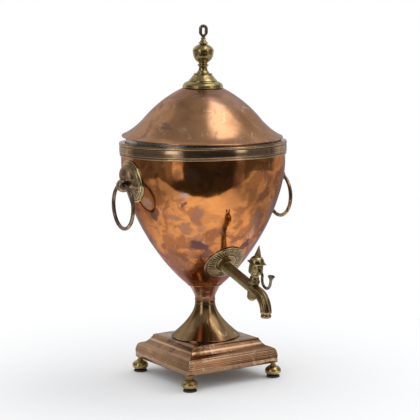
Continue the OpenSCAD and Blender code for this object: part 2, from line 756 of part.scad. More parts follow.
washer_t = 1.6;
washer_r = 6;
handle_nut_h = 3.6;
handle_in = sqrt(pow(bowl_at(handle_up - washer_r) - bowl_wall, 2) - washer_r * washer_r);
module handle_studs() {
    low = handle_in - washer_t - handle_nut_h - 1.5;
    color(iron) for (side = [-1, 1]) handle_place(side) translate([low, 0, 0]) rotate([0, 90, 0])
        cylinder(r = handle_stud_r, h = handle_wall + 6 - low);
}

module handle_washers() {
    color(tin) for (side = [-1, 1]) handle_place(side)
        translate([handle_in - washer_t - seat, 0, 0]) rotate([0, 90, 0])
            ring(washer_r, handle_stud_r + slip, washer_t);
}

module handle_nuts() {
    color(tin) for (side = [-1, 1]) handle_place(side)
        translate([handle_in - washer_t - seat - handle_nut_h, 0, 0]) rotate([0, 90, 0])
            nut(handle_stud_r * 1.6, handle_stud_r + run, handle_nut_h);
}

// ---- tap ----

rosette_up = tap_up + rosette_rise;
rosette_lean = atan(bowl_grow(rosette_up));

rosette_rim = 2.4;      // width of the plain rim
rosette_flutes = 11.6;  // width of the fluted border

module tap_rosette() {
    levels = [[0, rosette_t], [rosette_rim, rosette_t + 0.7],
              [rosette_rim + rosette_flutes, rosette_t + 1.6]];
    color(old_brass) difference() {
        for (s = levels) intersection() {
            wall_skin(seat, s[1], rosette_up - rosette_r, rosette_up + rosette_r);
            translate([0, -bowl_at(rosette_up), z_bowl + rosette_up])
                rotate([90 + rosette_lean, 0, 0])
                    cylinder(r = rosette_r - s[0], h = 2 * rosette_r, center = true);
        }
        tap_place() rotate([90, 0, 0])
            cylinder(r = tail_r + slip, h = 2 * rosette_r, center = true);
    }
}

barrel_y = -arm_len;
spout_from = 15.6;      // straight reach of the spout before it bends
spout_turn = 90 - tap_tilt;
spout_drop = 2.6;       // straight length at the spout's end
bead_h = 5.4;
arm_root = 5;           // length of the thicker foot of the arm

module barrel_place() { tap_place() translate([0, barrel_y, 0]) children(); }

// The spout's path: a shape swept round the bend, then straight down, a little slimmer
module spout_path(r, sides, extra) {
    turn = sides == 8 ? 22.5 : 0;
    translate([0, -spout_from, 0]) {
        rotate([-90, turn, 0]) cylinder(r = r, h = spout_from, $fn = sides);
        translate([0, 0, -spout_bend]) rotate([0, 90, 0]) rotate([0, 0, 180])
            rotate_extrude(angle = spout_turn, $fn = 96) translate([spout_bend, 0])
                rotate([0, 0, turn]) circle(r = r, $fn = sides);
        translate([0, 0, -spout_bend]) rotate([spout_turn, 0, 0]) translate([0, 1, spout_bend])
            rotate([90, turn, 0]) cylinder(r = r - 0.25, h = 1 + spout_drop + extra, $fn = sides);
    }
}

module tap_body() {
    color(old_brass) difference() {
        barrel_place() difference() {
            union() {
                rotate([-90, 22.5, 0]) cylinder(r = arm_r, h = arm_len + 14, $fn = 8);
                translate([0, arm_len - arm_root - 8, 0]) rotate([-90, 22.5, 0])
                    cylinder(r = arm_r + 2.4, h = arm_root + 22, $fn = 8);
                spout_path(spout_r, 8, 0);
                translate([0, -spout_from, -spout_bend]) rotate([spout_turn, 0, 0])
                    translate([0, -spout_drop + 0.6, spout_bend]) rotate([90, 0, 0])
                        rotate_extrude() polygon(concat([[0, -1.4], [spout_r - 0.6, -1.4]],
                            arc(spout_r - 1.4, bead_h / 2, 1.6, bead_h / 2, -80, 80, 6),
                            [[0, bead_h]]));
                rotate_extrude() polygon(concat(
                    [[0, -barrel_down], [barrel_r - 2.4, -barrel_down],
                     [barrel_r - 1.8, 1 - barrel_down], [barrel_r - 0.6, -2],
                     [barrel_r - 0.4, 7]],
                    arc(barrel_r - 1.2, 10.4, 1.2, 3, -70, 80, 6),
                    [[barrel_r - 1.4, barrel_up], [0, barrel_up]]));
            }
            plug_cone(run);
            rotate([-90, 0, 0]) cylinder(r = water_r, h = arm_len + 30);
            spout_path(water_r, 48, bead_h + 1);
        }
        wall_core(rosette_t + 1.6 + slip, tap_up - 24, tap_up + 30, steps);
    }
    color(old_brass) tap_tail();
}

// The threaded tail from the arm's root through the wall, drilled for the water
tail_in = (tap_wall - sleeve_r) / cos(tap_tilt) - 7;
module tap_tail() {
    tap_place() translate([0, -arm_root - 4, 0]) rotate([-90, 0, 0])
        ring(tail_r, water_r, arm_root + 4 + tail_in);
}

// The tapered plug's outside, grown by a clearance
module plug_cone(grow) {
    slope = (plug_top_r - plug_low_r) / (barrel_up + barrel_down);
    translate([0, 0, -barrel_down - 1])
        cylinder(r1 = plug_low_r - slope + grow, r2 = plug_top_r + slope + grow,
                 h = barrel_up + barrel_down + 2);
}

screw_r = 1.5;
key_seat = 0.4;         // gap between the barrel's top and the key
tang_r = 3;
tang_h = 10;

module tap_plug() {
    color(brass) barrel_place() difference() {
        union() {
            intersection() {
                plug_cone(0);
                translate([0, 0, -barrel_down + 0.2])
                    cylinder(r = barrel_r, h = barrel_up + barrel_down + key_seat - 0.2);
            }
            translate([0, 0, barrel_up]) cylinder(r = tang_r, h = key_seat + tang_h);
        }
        rotate([90, 0, 0]) cylinder(r = water_r, h = 4 * barrel_r, center = true);
        translate([0, 0, -barrel_down - 1]) cylinder(r = screw_r + run, h = 7);
    }
}

key_z = barrel_up + key_seat;
drum_h = 22;
hood_h = 10;
hood_ears = 4;

module tap_key() {
    color(brass) barrel_place() translate([0, 0, key_z]) difference() {
        union() {
            rotate_extrude() polygon(concat(
                [[0, 0], [6.4, 0], [6, 1.4], [5.4, 3.6], [6, 5.6]],
                arc(key_r - 4.6, 10.4, 4.6, 4.6, -72, 0, 6),
                [[key_r, 16], [key_r - 0.6, drum_h], [key_r + 1, drum_h + 0.3],
                 [key_r + 1.2, drum_h + 1.2]],
                arc(key_r - 8, drum_h + 1.6, 8.4, hood_h - 1.6, 10, 62, 6),
                [[4.6, drum_h + hood_h], [0, drum_h + hood_h]]));
            for (i = [0 : hood_ears - 1]) rotate([0, 0, 45 + i * 360 / hood_ears])
                translate([key_r - 0.6, 0, drum_h + 1.4]) sphere(r = 1.8);
        }
        translate([-4.4, -key_r - 2, 8]) cube([8.8, 6, drum_h - 9]);
        translate([0, -lever_tail + 0.2, lever_up + lever_turn]) rotate([90, 0, 0])
            cylinder(r = lever_r + run, h = 2 * key_r);
        translate([0, 0, -1]) cylinder(r = tang_r + run, h = tang_h + 1.3);
        translate([0, 0, drum_h + hood_h - 4]) cylinder(r = 2 + run, h = 6);
    }
}

module key_spire() {
    tiers = 6;
    tier_h = 2.45;
    color(old_brass) barrel_place() translate([0, 0, key_z + drum_h + hood_h + run])
        rotate_extrude() polygon(concat(
            [[0, -3.5], [2, -3.5], [2, 0], [4.4, 0]],
            [for (i = [0 : tiers - 1]) each
                arc(4.4 - 0.68 * (i + 1), (i + 0.5) * tier_h, 0.75, tier_h / 2, -70, 70, 3)],
            [[0, tiers * tier_h + 0.9]]));
}

lever_up = 9.1;         // height of the lever's bend centres above the key's seat
lever_turn = 6;         // radius of the first, smaller bend
lever_root = 12;        // where the first bend starts, from the plug's axis
lever_tail = 3.7;       // where the lever ends inside the key
lever_end = 4.5;        // straight length below the button

// A round wire bent about the X axis: from angle a, over angle b, at radius r
module bent_wire(r, a, b) {
    rotate([0, 90, 0]) rotate([0, 0, a])
        rotate_extrude(angle = b) translate([r, 0]) circle(r = lever_r, $fn = 48);
}

module key_lever() {
    color(ring_brown) barrel_place() translate([0, 0, key_z + lever_up]) {
        translate([0, -lever_root, 0]) bent_wire(lever_turn, 180, 90);
        translate([0, -lever_root, lever_turn]) rotate([-90, 0, 0])
            cylinder(r = lever_r, h = lever_root - lever_tail);
        translate([0, -lever_root - lever_turn - lever_bend, 0]) bent_wire(lever_bend, -90, 180);
        translate([0, -lever_root - lever_turn - 2 * lever_bend, 0])
            cylinder(r = lever_r, h = lever_end);
    }
}

module key_button() {
    color(ring_brown) barrel_place()
        translate([0, -lever_root - lever_turn - 2 * lever_bend, key_z + lever_up + lever_end + run])
            rotate_extrude() polygon([[0, 0], [lever_r + 0.2, 0], [lever_r + 0.5, 1.6], [3.4, 4],
                [4.7, 5.4], [4.8, 6.2], [4.4, 6.4], [0, 6.4]]);
}

module plug_washer() {
    color(brass) barrel_place() translate([0, 0, -barrel_down - 1.4])
        ring(barrel_r - 2.6, screw_r + slip, 1.2);
}

module plug_screw() {
    color(brass) barrel_place() difference() {
        union() {
            translate([0, 0, -barrel_down - 1.4]) cylinder(r = screw_r, h = 6.5);
            translate([0, 0, -barrel_down - 3.2]) cylinder(r1 = 3, r2 = 3.8, h = 1.8);
        }
        translate([-5, -0.5, -barrel_down - 4]) cube([10, 1, 1.8]);
    }
}

gasket_t = 6.5;         // from the wall's middle to the gasket's flat face
tap_nut_h = 5;
module tap_gasket() {
    color(leather) difference() {
        intersection() {
            wall_core(-bowl_wall - seat, tap_up - 24, tap_up + 30, steps);
            tap_place() rotate([-90, 0, 0]) cylinder(r = tail_r + 4, h = gasket_t);
        }
        tap_place() rotate([-90, 0, 0]) translate([0, 0, -1])
            cylinder(r = tail_r + slip, h = gasket_t + 2);
    }
}

module tap_nut() {
    color(brass) tap_place() translate([0, gasket_t, 0]) rotate([-90, 0, 0])
        nut(tail_r + 2.6, tail_r + run, tap_nut_h);
}

module tap_strainer() {
    cap = 1;
    holes = 6;
    drip_r = 0.9;
    start = gasket_t + tap_nut_h + seat;
    color(tin) tap_place() translate([0, start, 0]) rotate([-90, 0, 0]) difference() {
        cylinder(r = tail_r + slip + cap, h = tail_in - start + 2 + cap);
        translate([0, 0, -1]) cylinder(r = tail_r + slip, h = tail_in - start + 3);
        cylinder(r = drip_r, h = 2 * tail_in);
        for (i = [0 : holes - 1]) rotate([0, 0, i * 360 / holes])
            translate([4 * drip_r, 0, 0]) cylinder(r = drip_r, h = 2 * tail_in);
    }
}

plinth_shell();
corner_plates();
foot_front_left();
foot_front_right();
foot_rear_left();
foot_rear_right();
foot_pads();
foot_nuts();
stem();
bowl_neck_ring();
tie_rod();
tie_washer();
tie_nut();
base_boss();
bowl_shell();
rim_band();
heater_sleeve();
heater_iron();
iron_eye();
sleeve_cover();
cover_knob();
lid_shell();
lid_bezel();
finial_cap();
finial_spindle();
finial_eye();
finial_stud();
finial_washer();
finial_nut();
handle_plate_left();
handle_plate_right();
handle_mask_left();
handle_mask_right();
handle_ring_left();
handle_ring_right();
handle_studs();
handle_washers();
handle_nuts();
tap_rosette();
tap_body();
tap_plug();
tap_key();
key_spire();
key_lever();
key_button();
plug_washer();
plug_screw();
tap_gasket();
tap_nut();
tap_strainer();
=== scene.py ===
# %% [markdown]
# # A copper and brass tea urn
# A vase-shaped copper bowl stands on a brass stem and a square plinth with four ball feet.
# A lid lifts off the bowl, two rings hang from lion masks, and a plug tap pours from a sloping
# arm. The solid model comes first: it fixes every size, and this lesson dresses it with finer
# shapes and with metals that look their age. Blender works in metres, so sizes written in
# millimetres are multiplied by MM.

# %% Load the solid model
import math

import bpy
from mathutils import Matrix, Vector


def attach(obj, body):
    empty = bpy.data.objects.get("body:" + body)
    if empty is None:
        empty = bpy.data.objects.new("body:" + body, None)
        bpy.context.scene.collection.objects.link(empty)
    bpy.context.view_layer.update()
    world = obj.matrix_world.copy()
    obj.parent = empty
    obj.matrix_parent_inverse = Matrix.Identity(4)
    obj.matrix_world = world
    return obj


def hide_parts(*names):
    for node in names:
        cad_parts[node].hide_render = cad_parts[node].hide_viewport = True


MM = 0.001
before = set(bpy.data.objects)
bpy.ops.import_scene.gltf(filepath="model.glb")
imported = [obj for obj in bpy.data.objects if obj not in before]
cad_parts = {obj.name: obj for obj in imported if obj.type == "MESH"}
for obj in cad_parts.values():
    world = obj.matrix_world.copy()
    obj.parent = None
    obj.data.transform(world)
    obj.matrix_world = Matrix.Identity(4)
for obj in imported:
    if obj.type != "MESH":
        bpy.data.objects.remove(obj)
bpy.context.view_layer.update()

# %% [markdown]
# ## The camera
# The urn is seen from its front left, a little above the middle. A long lens a good way off
# keeps upright lines nearly parallel. The turns are applied from right to left: a slight roll,
# the tilt down, then the turn about the upright axis.

# %% Camera
CAMERA_AT = Vector((-904.6, -1638.6, 477.8)) * MM
CAMERA_TURN = math.radians(-29.17)
CAMERA_TILT = math.radians(82.71)
CAMERA_ROLL = math.radians(-0.74)
camera_data = bpy.data.cameras.new("camera")
camera_data.lens = 113.63
camera_data.sensor_width = 36
camera = bpy.data.objects.new("camera", camera_data)
bpy.context.scene.collection.objects.link(camera)
bpy.context.scene.camera = camera
camera.matrix_world = (Matrix.Translation(CAMERA_AT) @ Matrix.Rotation(CAMERA_TURN, 4, "Z")
                       @ Matrix.Rotation(CAMERA_TILT, 4, "X")
                       @ Matrix.Rotation(CAMERA_ROLL, 4, "Z"))
print("camera distance from the urn's axis:", round(CAMERA_AT.xy.length, 3), "m")

# %% [markdown]
# ## Helpers for nodes
# A material is a graph of nodes. These helpers keep each graph short to write: one adds a node
# and fills its sockets, one does a sum, one makes a soft step, two start a node group and an
# empty material, and one sends the finished shader out.

# %% Node helpers
def node(tree, kind, inputs=None, **settings):
    """Adds a shader node. inputs maps a socket to a value or to another node's output."""
    made = tree.nodes.new("ShaderNode" + kind)
    for setting, value in settings.items():
        setattr(made, setting, value)
    for socket, value in (inputs or {}).items():
        if isinstance(value, bpy.types.NodeSocket):
            tree.links.new(value, made.inputs[socket])
        else:
            made.inputs[socket].default_value = value
    return made


def sums(tree, operation, *values):
    """One Math node's result."""
    return node(tree, "Math", dict(enumerate(values)), operation=operation).outputs[0]


def smooth(tree, value, low, high):
    """0 below low, 1 above high, and a soft step between them."""
    return node(tree, "MapRange", {"Value": value, "From Min": low, "From Max": high},
                interpolation_type="SMOOTHSTEP").outputs["Result"]


def new_group(name, inputs, outputs):
    """Starts a shader node group and returns it with its input and output nodes."""
    group = bpy.data.node_groups.new(name, "ShaderNodeTree")
    for label, kind, value in inputs:
        socket = group.interface.new_socket(label, in_out="INPUT", socket_type="NodeSocket" + kind)
        if value is not None:
            socket.default_value = value
    for label, kind in outputs:
        group.interface.new_socket(label, in_out="OUTPUT", socket_type="NodeSocket" + kind)
    return group, group.nodes.new("NodeGroupInput"), group.nodes.new("NodeGroupOutput")


def new_material(name):
    """An empty material and its node tree."""
    material = bpy.data.materials.new(name)
    material.use_nodes = True
    material.node_tree.nodes.clear()
    return material, material.node_tree


def show(tree, shader):
    """Sends a shader to the material's output."""
    tree.links.new(shader.outputs[0], node(tree, "OutputMaterial").inputs["Surface"])


print("node helpers ready")

# %% [markdown]
# ## The studio
# Polished copper shows mostly what stands round it. The urn stands on a white table in front of
# a white sweep. The side where the camera is stays dark, apart from a tall window to the left
# and a narrower one to the right, so the upper bowl mirrors a dark room and the lower bowl
# mirrors the table. The table's front edge, half a metre in front of the urn, draws the curved
# dark shape high on the bowl.
# The floor round the table is a second sheet, a hair lower, that mirrors don't see.

# %% White of the floor
VIEW_TURN = math.radians(28.9)
FADE_FROM, FADE_TO = 0.17, 0.52
DUSK_FROM, DUSK_TO, DUSK = 0.08, 0.5, 0.55


def white_floor():
    """A pale floor that keeps soft shadows near the urn and fades to white away from it. In
    mirrors the white is duller to both sides."""
    material, tree = new_material("white_floor")
    place = node(tree, "NewGeometry").outputs["Position"]
    away = node(tree, "VectorMath", {0: place}, operation="LENGTH").outputs["Value"]
    turned = node(tree, "VectorRotate", {"Vector": place, "Angle": VIEW_TURN},
                  rotation_type="Z_AXIS").outputs[0]
    side = node(tree, "SeparateXYZ", {0: turned}).outputs["X"]
    fade = smooth(tree, away, FADE_FROM, FADE_TO)
    paper = node(tree, "BsdfDiffuse", {"Color": (0.92, 0.925, 0.93, 1)}).outputs[0]
    rays = node(tree, "LightPath")
    seen = sums(tree, "MAXIMUM", rays.outputs["Is Camera Ray"], sums(
        tree, "MAXIMUM", rays.outputs["Is Glossy Ray"], rays.outputs["Is Transmission Ray"]))
    dusk = sums(tree, "MULTIPLY",
                smooth(tree, sums(tree, "ABSOLUTE", side), DUSK_FROM, DUSK_TO), DUSK)
    dusk = sums(tree, "MULTIPLY", dusk, rays.outputs["Is Glossy Ray"])
    level = sums(tree, "SUBTRACT", 1.0, dusk)
    glow = node(tree, "Emission", {"Color": (1, 1, 1, 1), "Strength": level}).outputs[0]
    mixed = node(tree, "MixShader", {0: sums(tree, "MULTIPLY", fade, seen), 1: paper, 2: glow})
    show(tree, mixed)
    return material


floor_white = white_floor()
print("floor material with", len(floor_white.node_tree.nodes), "nodes")

# %% [markdown]
# Both sheets are planes turned to face the camera.


# %% Table and floor
def floor_sheet(name, near, far, left, right, below):
    """A sheet of floor that reaches so far to each side of the urn, seen from the camera."""
    bpy.ops.mesh.primitive_plane_add(size=1)
    sheet = bpy.context.object
    sheet.name = name
    sheet.scale = (left + right, near + far, 1)
    sheet.rotation_euler.z = -VIEW_TURN
    middle = Vector(((right - left) / 2, (far - near) / 2, -below))
    sheet.location = Matrix.Rotation(-VIEW_TURN, 3, "Z") @ middle
    sheet.data.materials.append(floor_white)
    return sheet


TABLE_EDGE = 472 * MM
TABLE_LEFT = 920 * MM
TABLE_RIGHT = 1380 * MM
FLOOR_REACH = 3.2
table = floor_sheet("table", TABLE_EDGE, FLOOR_REACH, TABLE_LEFT, TABLE_RIGHT, 0)
wide_floor = floor_sheet("wide_floor", *[FLOOR_REACH] * 4, 0.2 * MM)
wide_floor.visible_glossy = False
print(table.name, "edge", TABLE_EDGE, "m in front of the axis")

# %% [markdown]
# ## Light
# The world gives even white light to matt things and to the camera. Shiny things get a studio
# drawn from the direction alone: az is the angle to the right of the camera, el the height over
# the horizon. Each panel is a soft-edged box in those two angles, with its own level. A white
# sweep stands behind the urn, a dim ceiling is over it, and a long strip light lies over the
# right shoulder. A ceiling is flat, so the strip is drawn in x / z and y / z.

# %% Panels of light
PANELS = [  # az from, az to, el from, el to, softness of the edges, level
    (-44, -28, -20, 0, 2, 0.60),    # a tall window to the camera's left: its sill
    (-52, -31, -3, 42, 3, 1.5),     # and its bright upper part
    (-55, -44, -24, 0, 2, 0.22),    # the pale wall beside the sill
    (46, 62, -24, 2, 2.5, 0.22),    # a narrower one to the right
    (46, 60, 0, 50, 4, 1.3),
    (62, 110, -90, 22, 5, 0.14),    # the room's right wall
    (-112, -53, -90, 24, 4, 0.13),  # and its left wall
    (-132, -95, 34, 60, 7, 0.50)]   # a pale patch high on the left
SWEEP_LEVEL = 0.62
STRIP_LEVEL = 2.1
ROOM_LEVEL = 0.036
print("brightest panel:", max(level for *_, level in PANELS))

# %% [markdown]
# In the world's graph each light is one number for each direction, and the brightest one wins,
# so lights can overlap without adding up.


# %% World
def studio_world():
    """White for the eye and for matt surfaces, and a drawn studio for mirrors."""
    world = bpy.data.worlds.new("studio")
    world.use_nodes = True
    tree = world.node_tree
    tree.nodes.clear()
    ray = node(tree, "TexCoord").outputs["Generated"]
    turned_ray = node(tree, "VectorRotate", {"Vector": ray, "Angle": VIEW_TURN},
                      rotation_type="Z_AXIS").outputs[0]
    x, y, z = node(tree, "SeparateXYZ", {0: turned_ray}).outputs
    az = sums(tree, "DEGREES", sums(tree, "ARCTAN2", x, sums(tree, "MULTIPLY", y, -1.0)))
    el = sums(tree, "DEGREES", sums(tree, "ARCSINE", z))

    def panel(az_low, az_high, el_low, el_high, soft, level):
        """A soft-edged box in az and el."""
        sides = sums(tree, "MULTIPLY", smooth(tree, az, az_low - soft, az_low + soft),
                     sums(tree, "SUBTRACT", 1.0, smooth(tree, az, az_high - soft, az_high + soft)))
        heights = sums(tree, "MULTIPLY", smooth(tree, el, el_low - soft, el_low + soft),
                       sums(tree, "SUBTRACT", 1.0,
                            smooth(tree, el, el_high - soft, el_high + soft)))
        return sums(tree, "MULTIPLY", sums(tree, "MULTIPLY", sides, heights), level)

    def over(socket, low, high):
        """A soft step across the flat ceiling."""
        return smooth(tree, sums(tree, "DIVIDE", socket, sums(tree, "MAXIMUM", z, 0.02)), low, high)

    sweep = sums(tree, "MULTIPLY", smooth(tree, y, 0.22, 0.62), SWEEP_LEVEL)
    to_right = sums(tree, "MULTIPLY_ADD", smooth(tree, x, -0.35, 0.5), 0.17, 0.27)
    ceiling = sums(tree, "MULTIPLY", smooth(tree, el, 16.0, 44.0), to_right)
    level = sums(tree, "MAXIMUM", sweep, ceiling)
    for one in PANELS:
        level = sums(tree, "MAXIMUM", level, panel(*one))
    fall = sums(tree, "MULTIPLY_ADD", over(x, 0.42, 0.80), -0.5, 1.0)
    fall = sums(tree, "MULTIPLY", fall, sums(tree, "SUBTRACT", 1.0, over(x, 1.0, 1.6)))
    strip = sums(tree, "MULTIPLY", over(x, 0.06, 0.27), fall)
    strip = sums(tree, "MULTIPLY", strip, sums(tree, "MULTIPLY", over(y, -0.62, -0.50),
                                               sums(tree, "SUBTRACT", 1.0, over(y, 0.22, 0.38))))
    strip = sums(tree, "MULTIPLY", strip, smooth(tree, el, 20.0, 30.0))
    level = sums(tree, "MAXIMUM", level, sums(tree, "MULTIPLY", strip, STRIP_LEVEL))
    level = sums(tree, "MAXIMUM", level, ROOM_LEVEL)
    mirror = node(tree, "Background", {"Color": (1, 0.985, 0.965, 1), "Strength": level}).outputs[0]
    rays = node(tree, "LightPath")
    even = node(tree, "Background", {"Color": (0.97, 0.985, 1, 1), "Strength": 0.98}).outputs[0]
    white = node(tree, "Background", {"Color": (1, 1, 1, 1), "Strength": 1.0}).outputs[0]
    seen = sums(tree, "MAXIMUM", rays.outputs["Is Glossy Ray"],
                rays.outputs["Is Transmission Ray"])
    matt = node(tree, "MixShader", {0: seen, 1: even, 2: mirror}).outputs[0]
    out = node(tree, "MixShader", {0: rays.outputs["Is Camera Ray"], 1: matt, 2: white})
    tree.links.new(out.outputs[0], node(tree, "OutputWorld").inputs["Surface"])
    return world


bpy.context.scene.world = studio_world()
bpy.context.scene.view_settings.view_transform = "Standard"
print("studio drawn")

# %% [markdown]
# The drawn strip makes the bright patch on the lid. One real lamp, a soft box behind the right
# shoulder, adds light to the table and a soft shadow towards the front left. Mirrors don't
# see it.

# %% Lamp
def soft_box(name, az, el, distance, width, height, level):
    """An area lamp at a direction from the bowl's middle; level is its brightness to look at."""
    lamp_data = bpy.data.lights.new(name, "AREA")
    lamp_data.shape = "RECTANGLE"
    lamp_data.size, lamp_data.size_y = width, height
    lamp_data.energy = level * math.pi * width * height
    lamp = bpy.data.objects.new(name, lamp_data)
    bpy.context.scene.collection.objects.link(lamp)
    a, e = math.radians(az), math.radians(el)
    ray = Matrix.Rotation(-VIEW_TURN, 3, "Z") @ Vector(
        (math.sin(a) * math.cos(e), -math.cos(a) * math.cos(e), math.sin(e)))
    lamp.location = Vector((0, 0, 0.2)) + distance * ray
    lamp.rotation_euler = ray.to_track_quat("Z", "Y").to_euler()
    lamp.visible_camera = lamp.visible_glossy = False
    return lamp


behind_right = soft_box("behind_right", 112, 50, 1.6, 0.8, 0.8, 2.2)
print("lamp:", behind_right.name)

# %% [markdown]
# ## What age does to copper and brass
# Every metal here is the same story with other numbers: a polished ground, wide warm stains where
# the polish has gone off, crisp darker blotches left by water and hands, rough where the mirror
# is lost, and a surface that is never quite even. Two node groups tell it. The first makes one
# kind of patch from warped noise; the second lays three kinds over each other.

# %% The patch group
def patch_group():
    """Patches of a given size: Cover is how much they fill, Edge how soft their border is."""
    group, given, result = new_group("age_patches", [
        ("Vector", "Vector", None), ("Size", "Float", 0.03), ("Cover", "Float", 0.3),
        ("Edge", "Float", 0.05), ("Ragged", "Float", 0.4), ("Detail", "Float", 5.0),
        ("Seed", "Float", 0.0)], [("Mask", "Float")])
    scale = sums(group, "DIVIDE", 1.0, given.outputs["Size"])
    shifted = node(group, "VectorMath", {0: given.outputs["Vector"],
                   1: node(group, "CombineXYZ", {0: given.outputs["Seed"],
                                                 2: given.outputs["Seed"]}).outputs[0]},
                   operation="ADD").outputs[0]
    noise = node(group, "TexNoise", {"Vector": shifted, "Scale": scale,
                                     "Detail": given.outputs["Detail"], "Roughness": 0.55,
                                     "Distortion": given.outputs["Ragged"]})
    line = sums(group, "MULTIPLY_ADD", given.outputs["Cover"], -0.25, 0.625)
    low = sums(group, "SUBTRACT", line, given.outputs["Edge"])
    high = sums(group, "ADD", line, given.outputs["Edge"])
    mask = node(group, "MapRange", {"Value": noise.outputs[0], "From Min": low, "From Max": high},
                interpolation_type="SMOOTHSTEP").outputs["Result"]
    group.links.new(mask, result.inputs["Mask"])
    return group


age_patches = patch_group()
print("patch group:", [s.name for s in age_patches.interface.items_tree])

# %% The aged metal group
def aged_group():
    """Ground, stain and blotch colours with their own roughness, then worn edges, and on the plinth
    a painted highlight.
    """
    group, given, result = new_group("aged_metal", [
        ("Vector", "Vector", None),
        ("Ground", "Color", (0.8, 0.4, 0.2, 1)), ("Stain", "Color", (0.4, 0.2, 0.1, 1)),
        ("Blotch", "Color", (0.3, 0.2, 0.2, 1)), ("Bare", "Color", (0.9, 0.7, 0.5, 1)),
        ("Stain size", "Float", 0.07), ("Stain cover", "Float", 0.4),
        ("Blotch size", "Float", 0.03), ("Blotch cover", "Float", 0.2),
        ("Blotch edge", "Float", 0.02), ("More blotch", "Float", 0.0),
        ("Scuff cover", "Float", 0.1), ("Wear and sheen", "Float", 0.0),
        ("Polish", "Float", 0.1), ("Dullness", "Float", 0.3), ("Seed", "Float", 0.0)],
        [("Color", "Color"), ("Roughness", "Float"), ("Height", "Float")])
    take = given.outputs

    def patches(size, cover, edge, ragged, detail, seed):
        """The mask of one kind of patch."""
        made = node(group, "Group", {}, node_tree=age_patches)
        for label, value in [("Vector", take["Vector"]), ("Size", size), ("Cover", cover),
                             ("Edge", edge), ("Ragged", ragged), ("Detail", detail),
                             ("Seed", seed)]:
            if isinstance(value, bpy.types.NodeSocket):
                group.links.new(value, made.inputs[label])
            else:
                made.inputs[label].default_value = value
        return made.outputs[0]

    def mix(mask, under, over):
        """One colour over another."""
        return node(group, "Mix", {0: mask, 6: under, 7: over}, data_type="RGBA").outputs[2]

    stain = patches(take["Stain size"], take["Stain cover"], 0.07, 0.5, 4.0, take["Seed"])
    fine = patches(sums(group, "MULTIPLY", take["Stain size"], 0.28), 0.42, 0.12, 0.3, 5.0,
                   sums(group, "ADD", take["Seed"], 3.1))
    cover = sums(group, "ADD", take["Blotch cover"], take["More blotch"])
    blotch = patches(take["Blotch size"], cover, take["Blotch edge"], 0.5, 3.2,
                     sums(group, "ADD", take["Seed"], 7.7))
    small = patches(sums(group, "MULTIPLY", take["Blotch size"], 0.45), cover,
                    take["Blotch edge"], 0.3, 2.0, sums(group, "ADD", take["Seed"], 1.3))
    scuff = patches(0.014, take["Scuff cover"], 0.05, 0.9, 5.0,
                    sums(group, "ADD", take["Seed"], 5.2))
    blotch_all = sums(group, "MAXIMUM", blotch, sums(group, "MULTIPLY", small, 0.6))
    colour = mix(sums(group, "MULTIPLY", stain, 0.8), take["Ground"], take["Stain"])
    colour = mix(sums(group, "MULTIPLY", fine, 0.24), colour, take["Stain"])
    colour = mix(sums(group, "MULTIPLY", blotch_all, 0.8), colour, take["Blotch"])
    colour = mix(sums(group, "MULTIPLY", scuff, 0.45), colour, take["Bare"])
    colour = mix(sums(group, "MULTIPLY", take["Wear and sheen"], -1.0), colour, take["Blotch"])
    colour = mix(sums(group, "MAXIMUM", take["Wear and sheen"], 0.0), colour, take["Bare"])
    dull = sums(group, "MAXIMUM", sums(group, "MULTIPLY", stain, 0.35), blotch_all)
    dull = sums(group, "MAXIMUM", dull, sums(group, "MULTIPLY", scuff, 0.5))
    rough = node(group, "MapRange", {"Value": dull, "To Min": take["Polish"],
                                     "To Max": take["Dullness"]}).outputs["Result"]
    wave = node(group, "TexNoise", {"Vector": take["Vector"], "Scale": 26.0, "Detail": 2.0,
                                    "Roughness": 0.4}).outputs[0]
    grit = node(group, "TexNoise", {"Vector": take["Vector"], "Scale": 420.0, "Detail": 3.0,
                                    "Roughness": 0.6}).outputs[0]
    height = sums(group, "MULTIPLY_ADD", grit, 0.006, wave)
    height = sums(group, "MULTIPLY_ADD", blotch_all, -0.02, height)
    for label, socket in [("Color", colour), ("Roughness", rough), ("Height", height)]:
        group.links.new(socket, result.inputs[label])
    return group


aged_metal = aged_group()
print("aged metal group with", len(aged_metal.nodes), "nodes")

# %% [markdown]
# Noise alone looks like noise. The stains that the eye remembers, such as a dark drip below a
# handle, are listed one by one. One spot is an ellipse on the unrolled surface: a place round the
# axis, a height, two half sizes, a tilt, and a border that is pushed about by noise.

# %% The spot group
def spot_group():
    """One spot of colour: mostly a stain, and in two places a painted highlight. Unrolled holds the
    turn in radians, the height and the radius in metres.
    """
    group, given, result = new_group("one_spot", [
        ("Unrolled", "Vector", None), ("Turn", "Float", 0.0), ("Up", "Float", 0.2),
        ("Wide", "Float", 0.01), ("Tall", "Float", 0.01), ("Tilt", "Float", 0.0),
        ("Strength", "Float", 1.0)], [("Mask", "Float")])
    take = given.outputs
    turn, height, radius = node(group, "SeparateXYZ", {0: take["Unrolled"]}).outputs
    across = sums(group, "MULTIPLY", sums(group, "SUBTRACT", turn, take["Turn"]), radius)
    up = sums(group, "SUBTRACT", height, take["Up"])
    away = node(group, "CombineXYZ", {0: across, 1: up}).outputs[0]
    leaned = node(group, "VectorRotate", {"Vector": away, "Angle": take["Tilt"]},
                  rotation_type="Z_AXIS").outputs[0]
    size = node(group, "CombineXYZ", {0: take["Wide"], 1: take["Tall"], 2: 1.0}).outputs[0]
    part = node(group, "VectorMath", {0: leaned, 1: size}, operation="DIVIDE").outputs[0]
    far = node(group, "VectorMath", {0: part}, operation="LENGTH").outputs["Value"]
    mask = sums(group, "MULTIPLY", smooth(group, far, 1.3, 0.7), take["Strength"])
    group.links.new(mask, result.inputs["Mask"])
    return group


